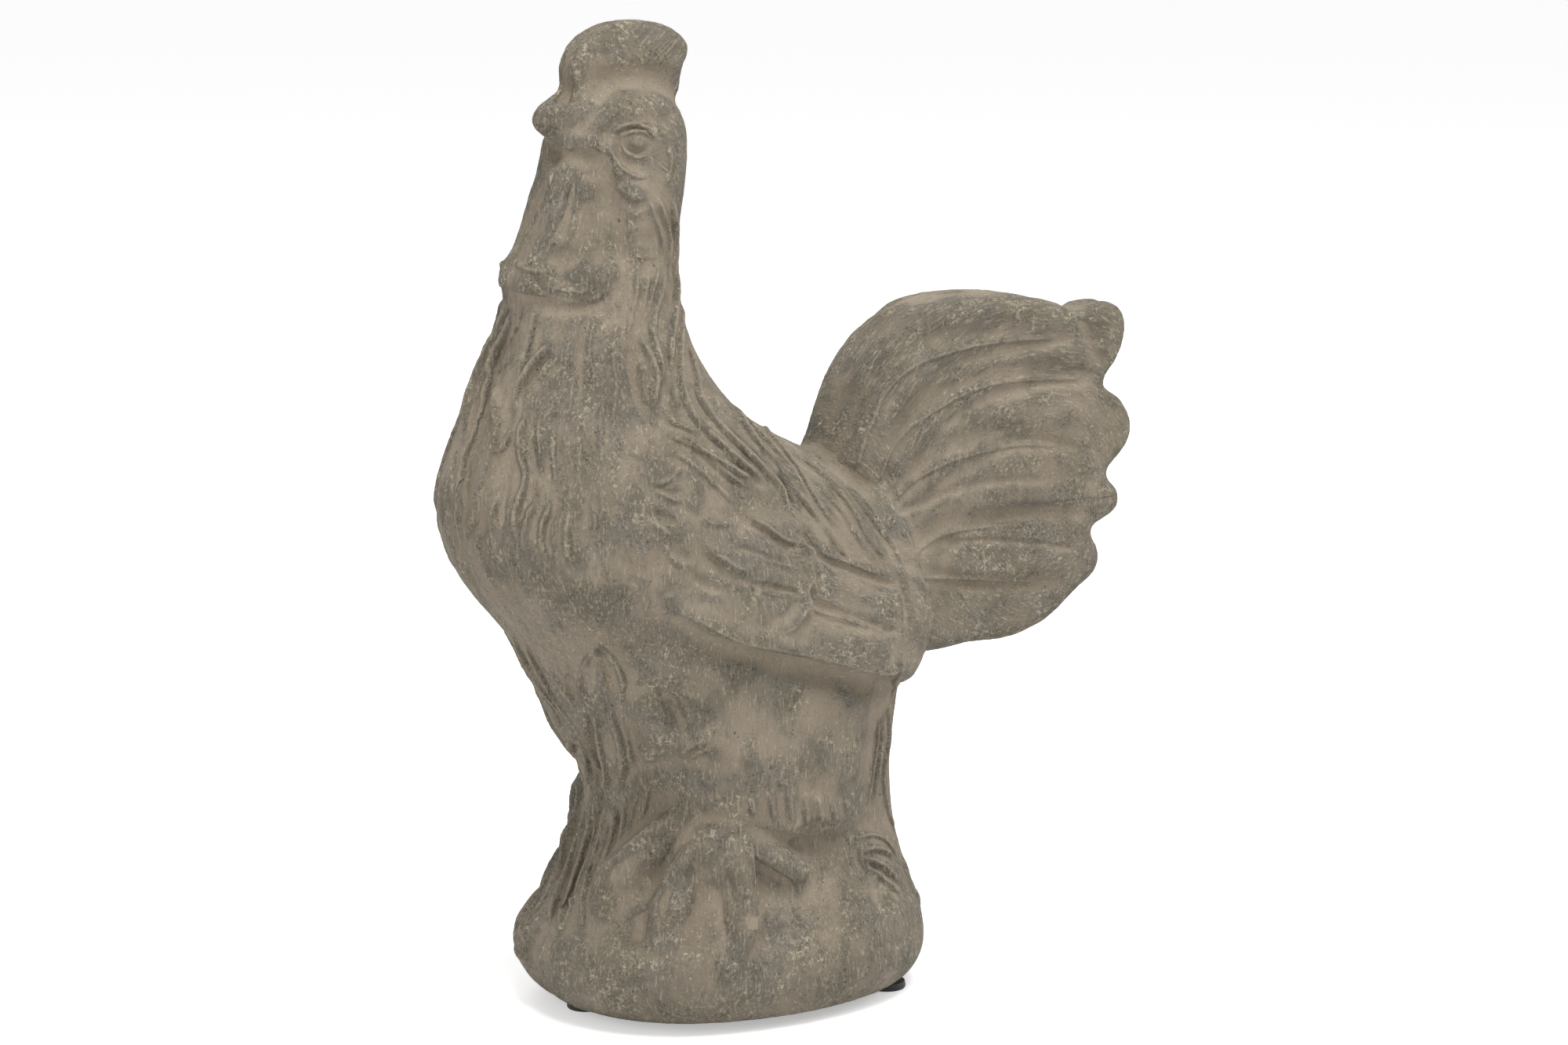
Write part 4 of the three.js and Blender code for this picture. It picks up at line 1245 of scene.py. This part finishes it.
def pad_profile(radius, height):
    points = [
        (0, PAD_DISH), (0.62 * radius, PAD_DISH), (0.70 * radius, PAD_DISH_FOOT), (0.75 * radius, 0)]
    for step in range(PAD_RIM_STEPS + 1):
        angle = math.pi / 2 * step / PAD_RIM_STEPS
        points.append((radius - PAD_RIM + PAD_RIM * math.sin(angle), PAD_RIM - PAD_RIM * math.cos(angle)))
    return points + [(radius, 0.6 * height), (0.96 * radius, height), (0, height)]


def add_pad(node):
    low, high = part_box(node)
    radius = (high[0] - low[0]) / 2
    place = ((low[0] + high[0]) / 2, (low[1] + high[1]) / 2, low[2])
    shape = bmesh.new()
    for r, z in pad_profile(radius, high[2] - low[2]):
        shape.verts.new((r, 0, z))
    shape.verts.ensure_lookup_table()
    for a, b in zip(shape.verts[:-1], shape.verts[1:]):
        shape.edges.new((a, b))
    bmesh.ops.spin(shape, geom=shape.verts[:] + shape.edges[:], cent=(0, 0, 0), axis=(0, 0, 1),
                   angle=2 * math.pi, steps=PAD_STEPS, use_merge=True)
    bmesh.ops.remove_doubles(shape, verts=shape.verts, dist=PAD_WELD)
    bmesh.ops.recalc_face_normals(shape, faces=shape.faces)
    bmesh.ops.translate(shape, verts=shape.verts, vec=place)
    mesh = bpy.data.meshes.new(node + "_pad")
    shape.to_mesh(mesh)
    shape.free()
    obj = add_object(node + "_pad", mesh, node)
    mesh.set_sharp_from_angle(angle=math.radians(PAD_SHARP_ANGLE))
    return obj


# Materials
def linear(red, green, blue):
    channels = [value / 255 for value in (red, green, blue)]
    return (*[c / 12.92 if c <= 0.04045 else ((c + 0.055) / 1.055) ** 2.4 for c in channels], 1)


class Shading:
    """A material's nodes, added by type, with their inputs given by name or by place."""

    def __init__(self, name):
        self.material = bpy.data.materials.new(name)
        self.material.use_nodes = True
        self.tree = self.material.node_tree
        self.tree.nodes.clear()

    def add(self, kind, inputs=None, **settings):
        node = self.tree.nodes.new("ShaderNode" + kind)
        for key, value in settings.items():
            setattr(node, key, value)
        for key, value in (inputs or {}).items():
            if isinstance(value, bpy.types.NodeSocket):
                self.tree.links.new(value, node.inputs[key])
            else:
                node.inputs[key].default_value = value
        return node

    def noise(self, place, scale, detail=4, roughness=0.6, distortion=0.0):
        node = self.add("TexNoise", {
            "Vector": place, "Scale": scale, "Detail": detail, "Roughness": roughness,
            "Distortion": distortion})
        return node.outputs["Fac"]

    def object_place(self):
        return self.add("TexCoord").outputs["Object"]

    def attribute(self, name, output="Fac"):
        return self.add("Attribute", attribute_name=name).outputs[output]

    def steps(self, value, low, high):
        node = self.add("MapRange", {
            "Value": value, "From Min": low, "From Max": high}, interpolation_type="SMOOTHSTEP")
        return node.outputs["Result"]

    def maths(self, operation, a, b=0.0, c=0.0, clamp=False):
        return self.add("Math", {0: a, 1: b, 2: c}, operation=operation, use_clamp=clamp).outputs[0]

    def plus(self, a, b, clamp=False):
        return self.maths("ADD", a, b, clamp=clamp)

    def times(self, a, b):
        return self.maths("MULTIPLY", a, b)

    def blend(self, amount, a, b):
        node = self.add("Mix", {"Factor": amount, "A": a, "B": b}, data_type="RGBA", blend_type="MIX")
        return node.outputs[2]

    # Lays a colour over another where the mask is high, at most at the given strength.
    def coat(self, color, mask, strength, top):
        return self.blend(self.times(mask, strength), color, top)

    def mix(self, amount, a, b):
        return self.add("Mix", {0: amount, 2: a, 3: b}, data_type="FLOAT").outputs[0]

    def finish(self, color, roughness, bump_height, bump_distance, **more):
        bump = self.add("Bump", {"Height": bump_height, "Distance": bump_distance, "Strength": 1.0})
        shader = self.add("BsdfPrincipled", {
            "Base Color": color, "Roughness": roughness, "Normal": bump.outputs[0], **more})
        self.add("OutputMaterial", {"Surface": shader.outputs[0]})
        return self.material


# Coordinates turned about Y so that their Z runs along the feathers, and stretched along it
def streaked_place(shading, place, turn, stretch):
    return shading.add("Mapping", {
        "Vector": place, "Rotation": (0, math.radians(turn), 0), "Scale": (1, 1, stretch)},
        vector_type="TEXTURE").outputs[0]


# Noise drawn out along the feathers: down the neck and base, slantwise over the shoulder, back along the wing
# and round the tail
SLANTED_TURN = 131
LEVEL_TURN = 104


def streaked_noise(shading, place, scale, detail, roughness, stretch):
    value = shading.noise(streaked_place(shading, place, 0, stretch), scale, detail, roughness)
    arcs = shading.add("Mapping", {
        "Vector": shading.attribute("arc_place", "Vector"), "Scale": (1, stretch, 1)}, vector_type="TEXTURE")
    others = {
        "slanted": streaked_place(shading, place, SLANTED_TURN, stretch),
        "level": streaked_place(shading, place, LEVEL_TURN, stretch),
        "arcs": arcs.outputs[0]}
    for name, turned in others.items():
        fitting = shading.noise(turned, scale, detail, roughness)
        value = shading.mix(shading.attribute(name), value, fitting)
    return value


# Colours of the cement and of what lies on it
BROWN = linear(123, 113, 97)
PALE_BROWN = linear(138, 127, 111)
GREY = linear(124, 116, 100)
COOL_GREY = linear(121, 116, 106)
DIRT = linear(92, 88, 77)
SMUDGE = linear(96, 90, 78)
SCRAPE = linear(172, 161, 141)
SPECK = linear(74, 69, 60)
FLAKE = linear(186, 176, 152)
# Partly wear and partly a painted highlight on the crests
WORN_AND_HIGHLIGHT = linear(176, 164, 144)
# Partly dirt and partly painted shade, in the hollows and in the creases
DIRT_AND_SHADE_IN_HOLLOWS = linear(112, 99, 82)
DIRT_AND_SHADE_IN_CREASES = linear(80, 71, 59)
PORE = linear(60, 54, 46)


def cement_material():
    shading = Shading("weathered_cement")
    place = shading.object_place()
    hollow = shading.attribute("hollow")
    crease = shading.attribute("crease")
    rough = shading.attribute("rough")

    # Smooth brown cement, and greyer cement where it is rough
    clouds = shading.steps(shading.noise(place, 24, 5, 0.62), 0.35, 0.65)
    grey_clouds = shading.steps(shading.noise(place, 40, 4), 0.42, 0.60)
    grey = shading.blend(grey_clouds, GREY, COOL_GREY)
    color = shading.coat(shading.blend(clouds, BROWN, PALE_BROWN), rough, 0.70, grey)

    # Ragged patches of dirt, and clusters in which specks and flakes are thick
    thick = shading.times(rough, 0.07)
    dirt = shading.steps(shading.plus(shading.noise(place, 52, 8, 0.74, 0.5), thick), 0.55, 0.63)
    color = shading.coat(color, dirt, 0.42, DIRT)
    dark_clusters = shading.steps(shading.noise(place, 78, 5, 0.65), 0.44, 0.60)
    pale_clusters = shading.steps(shading.noise(place, 64, 5, 0.65, 0.4), 0.47, 0.60)

    # Smudges, pale scrapes and dark specks along the feathers, thick on the rough cement and thin elsewhere
    smudges = streaked_noise(shading, place, 330, 4, 0.68, 3.0)
    scrapes = streaked_noise(shading, place, 820, 4, 0.62, 5.0)
    specks = shading.noise(place, 760, 4, 0.72)
    flakes = shading.noise(place, 400, 6, 0.76, 0.6)
    smudge_amount = shading.steps(shading.plus(smudges, thick), 0.50, 0.68)
    color = shading.coat(color, smudge_amount, 0.34, SMUDGE)
    scrape_amount = shading.steps(shading.plus(scrapes, shading.times(rough, 0.05)), 0.57, 0.68)
    color = shading.coat(color, scrape_amount, 0.50, SCRAPE)
    speck_amount = shading.steps(shading.plus(specks, thick), 0.58, 0.68)
    speck_amount = shading.times(speck_amount, shading.maths("MULTIPLY_ADD", dark_clusters, 0.7, 0.3))
    color = shading.coat(color, speck_amount, 0.80, SPECK)
    flake_amount = shading.steps(shading.plus(flakes, thick), 0.59, 0.66)
    color = shading.coat(color, shading.times(flake_amount, pale_clusters), 0.75, FLAKE)

    # Pale crests, partly wear and partly a painted highlight, and darker hollows and creases, partly dirt and
    # partly painted shade
    worn_and_highlight = shading.steps(shading.times(crease, -1.0), 0.10, 0.55)
    color = shading.coat(color, worn_and_highlight, 0.45, WORN_AND_HIGHLIGHT)
    # Painted shade, together with dirt, darkens the hollows and the creases.
    color = shading.coat(color, shading.steps(hollow, 0.25, 1.1), 0.45, DIRT_AND_SHADE_IN_HOLLOWS)
    color = shading.coat(color, shading.steps(crease, 0.2, 0.9), 0.40, DIRT_AND_SHADE_IN_CREASES)
    pores = shading.steps(shading.noise(place, 420, 2, 0.5), 0.72, 0.77)
    color = shading.coat(color, pores, 0.7, PORE)

    # Grain that stands out most where the cement is rough
    grain = shading.plus(shading.times(scrapes, 0.6), shading.times(specks, 0.8))
    grain = shading.plus(grain, shading.times(smudges, 0.4))
    grain = shading.times(grain, shading.plus(shading.times(rough, 0.5), 0.5))
    bump = shading.maths("SUBTRACT", grain, shading.times(pores, 0.3))
    roughness = shading.add("MapRange", {"Value": specks, "To Min": 0.80, "To Max": 0.97}).outputs[0]
    return shading.finish(color, roughness, bump, 2.6 * MM, **{"Specular IOR Level": 0.3})


# Colours of the pieces inside and of the pads
INNER_DARK = linear(118, 112, 102)
INNER_LIGHT = linear(142, 136, 125)
INNER_SPECK = linear(96, 92, 84)
STEEL = linear(120, 118, 114)
RUST = linear(96, 62, 40)
RUBBER = linear(24, 22, 21)
DUST = linear(62, 58, 52)


def inner_cement_material():
    shading = Shading("inner_cement")
    place = shading.object_place()
    clouds = shading.steps(shading.noise(place, 40, 5), 0.35, 0.65)
    fine = shading.noise(place, 400, 4)
    color = shading.blend(clouds, INNER_DARK, INNER_LIGHT)
    color = shading.blend(shading.steps(fine, 0.58, 0.7), color, INNER_SPECK)
    return shading.finish(color, 0.93, fine, 0.8 * MM, **{"Specular IOR Level": 0.3})


def steel_material():
    shading = Shading("drawn_steel")
    place = shading.object_place()
    drawn_place = shading.add("Mapping", {"Vector": place, "Scale": (1, 1, 0.1)}).outputs[0]
    drawn = shading.noise(drawn_place, 600, 3)
    rust = shading.steps(shading.noise(place, 90, 5), 0.52, 0.62)
    metal = shading.maths("SUBTRACT", 1.0, rust, clamp=True)
    return shading.finish(shading.blend(rust, STEEL, RUST), 0.45, drawn, 0.2 * MM, Metallic=metal)


def rubber_material():
    shading = Shading("black_rubber")
    place = shading.object_place()
    fine = shading.noise(place, 900, 3)
    dust = shading.steps(shading.noise(place, 120, 4), 0.5, 0.75)
    return shading.finish(shading.coat(RUBBER, dust, 0.25, DUST), 0.62, fine, 0.15 * MM)


def cover(obj, material):
    obj.data.materials.clear()
    obj.data.materials.append(material)


# Lights, each with its place from the camera's target, its size and its power
LIGHTS = {
    "top": ((-0.1, -0.95, 2.45), 1.5, 76),
    "left_side": ((-2.0, -0.9, 0.8), 1.4, 18),
    "right_side": ((2.1, -0.9, 1.2), 1.4, 23),
    "behind": ((0.3, 2.0, 1.3), 1.4, 20),
}

# Floor and world. To the camera and in reflections, both show brighter than the light that they give.
FLOOR_SIZE = 40
FLOOR_WHITE = (0.86, 0.86, 0.86, 1)
GLOW_NEAR = 0.40
GLOW_FAR = 0.60
GLOW_RADIUS = 2.5
AMBIENT = 0.43


def add_area_light(name, place, size, power):
    data = bpy.data.lights.new(name, "AREA")
    data.shape = "DISK"
    data.size = size
    data.energy = power
    light = linked_object(name, data)
    light.location = CAMERA_TARGET + Vector(place)
    light.rotation_mode = "QUATERNION"
    light.rotation_quaternion = Vector(place).to_track_quat("Z", "Y")


def add_floor():
    shape = bmesh.new()
    bmesh.ops.create_grid(shape, x_segments=1, y_segments=1, size=FLOOR_SIZE / 2)
    mesh = bpy.data.meshes.new("floor")
    shape.to_mesh(mesh)
    shape.free()
    floor = linked_object("floor", mesh)
    shading = Shading("pale_floor")
    rays = shading.add("LightPath").outputs
    seen = shading.plus(rays["Is Camera Ray"], rays["Is Glossy Ray"], clamp=True)
    seen = shading.plus(seen, rays["Is Transmission Ray"], clamp=True)
    diffuse = shading.add("BsdfDiffuse", {"Color": FLOOR_WHITE})
    reach = shading.add("VectorMath", {0: shading.object_place()}, operation="LENGTH").outputs["Value"]
    glow_strength = shading.add("MapRange", {
        "Value": reach, "From Max": GLOW_RADIUS, "To Min": GLOW_NEAR, "To Max": GLOW_FAR}).outputs[0]
    glow = shading.add("Emission", {"Strength": shading.times(seen, glow_strength)})
    both = shading.add("AddShader", {0: diffuse.outputs[0], 1: glow.outputs[0]})
    shading.add("OutputMaterial", {"Surface": both.outputs[0]})
    cover(floor, shading.material)


def add_world():
    world = bpy.data.worlds.new("studio")
    world.use_nodes = True
    nodes = world.node_tree.nodes
    links = world.node_tree.links
    nodes.clear()
    rays = nodes.new("ShaderNodeLightPath")
    seen = nodes.new("ShaderNodeMath")
    seen.operation = "MAXIMUM"
    links.new(rays.outputs["Is Camera Ray"], seen.inputs[0])
    links.new(rays.outputs["Is Glossy Ray"], seen.inputs[1])
    strength = nodes.new("ShaderNodeMapRange")
    strength.inputs["To Min"].default_value = AMBIENT
    strength.inputs["To Max"].default_value = 1
    links.new(seen.outputs[0], strength.inputs["Value"])
    background = nodes.new("ShaderNodeBackground")
    background.inputs["Color"].default_value = (1, 1, 1, 1)
    links.new(strength.outputs["Result"], background.inputs["Strength"])
    output = nodes.new("ShaderNodeOutputWorld")
    links.new(background.outputs[0], output.inputs[0])
    bpy.context.scene.world = world


def main():
    bpy.context.scene.view_settings.view_transform = "Standard"
    add_camera()
    add_world()
    add_floor()
    for name, (place, size, power) in LIGHTS.items():
        add_area_light(name, place, size, power)
    cement = cement_material()
    for half in add_castings():
        cover(half, cement)
    inner = inner_cement_material()
    for node in ("floor_plate", "seam_strap"):
        cover(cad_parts[node], inner)
    cover(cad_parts["tail_rod"], steel_material())
    rubber = rubber_material()
    for node in ("foot_front", "foot_left", "foot_right"):
        cover(add_pad(node), rubber)


main()
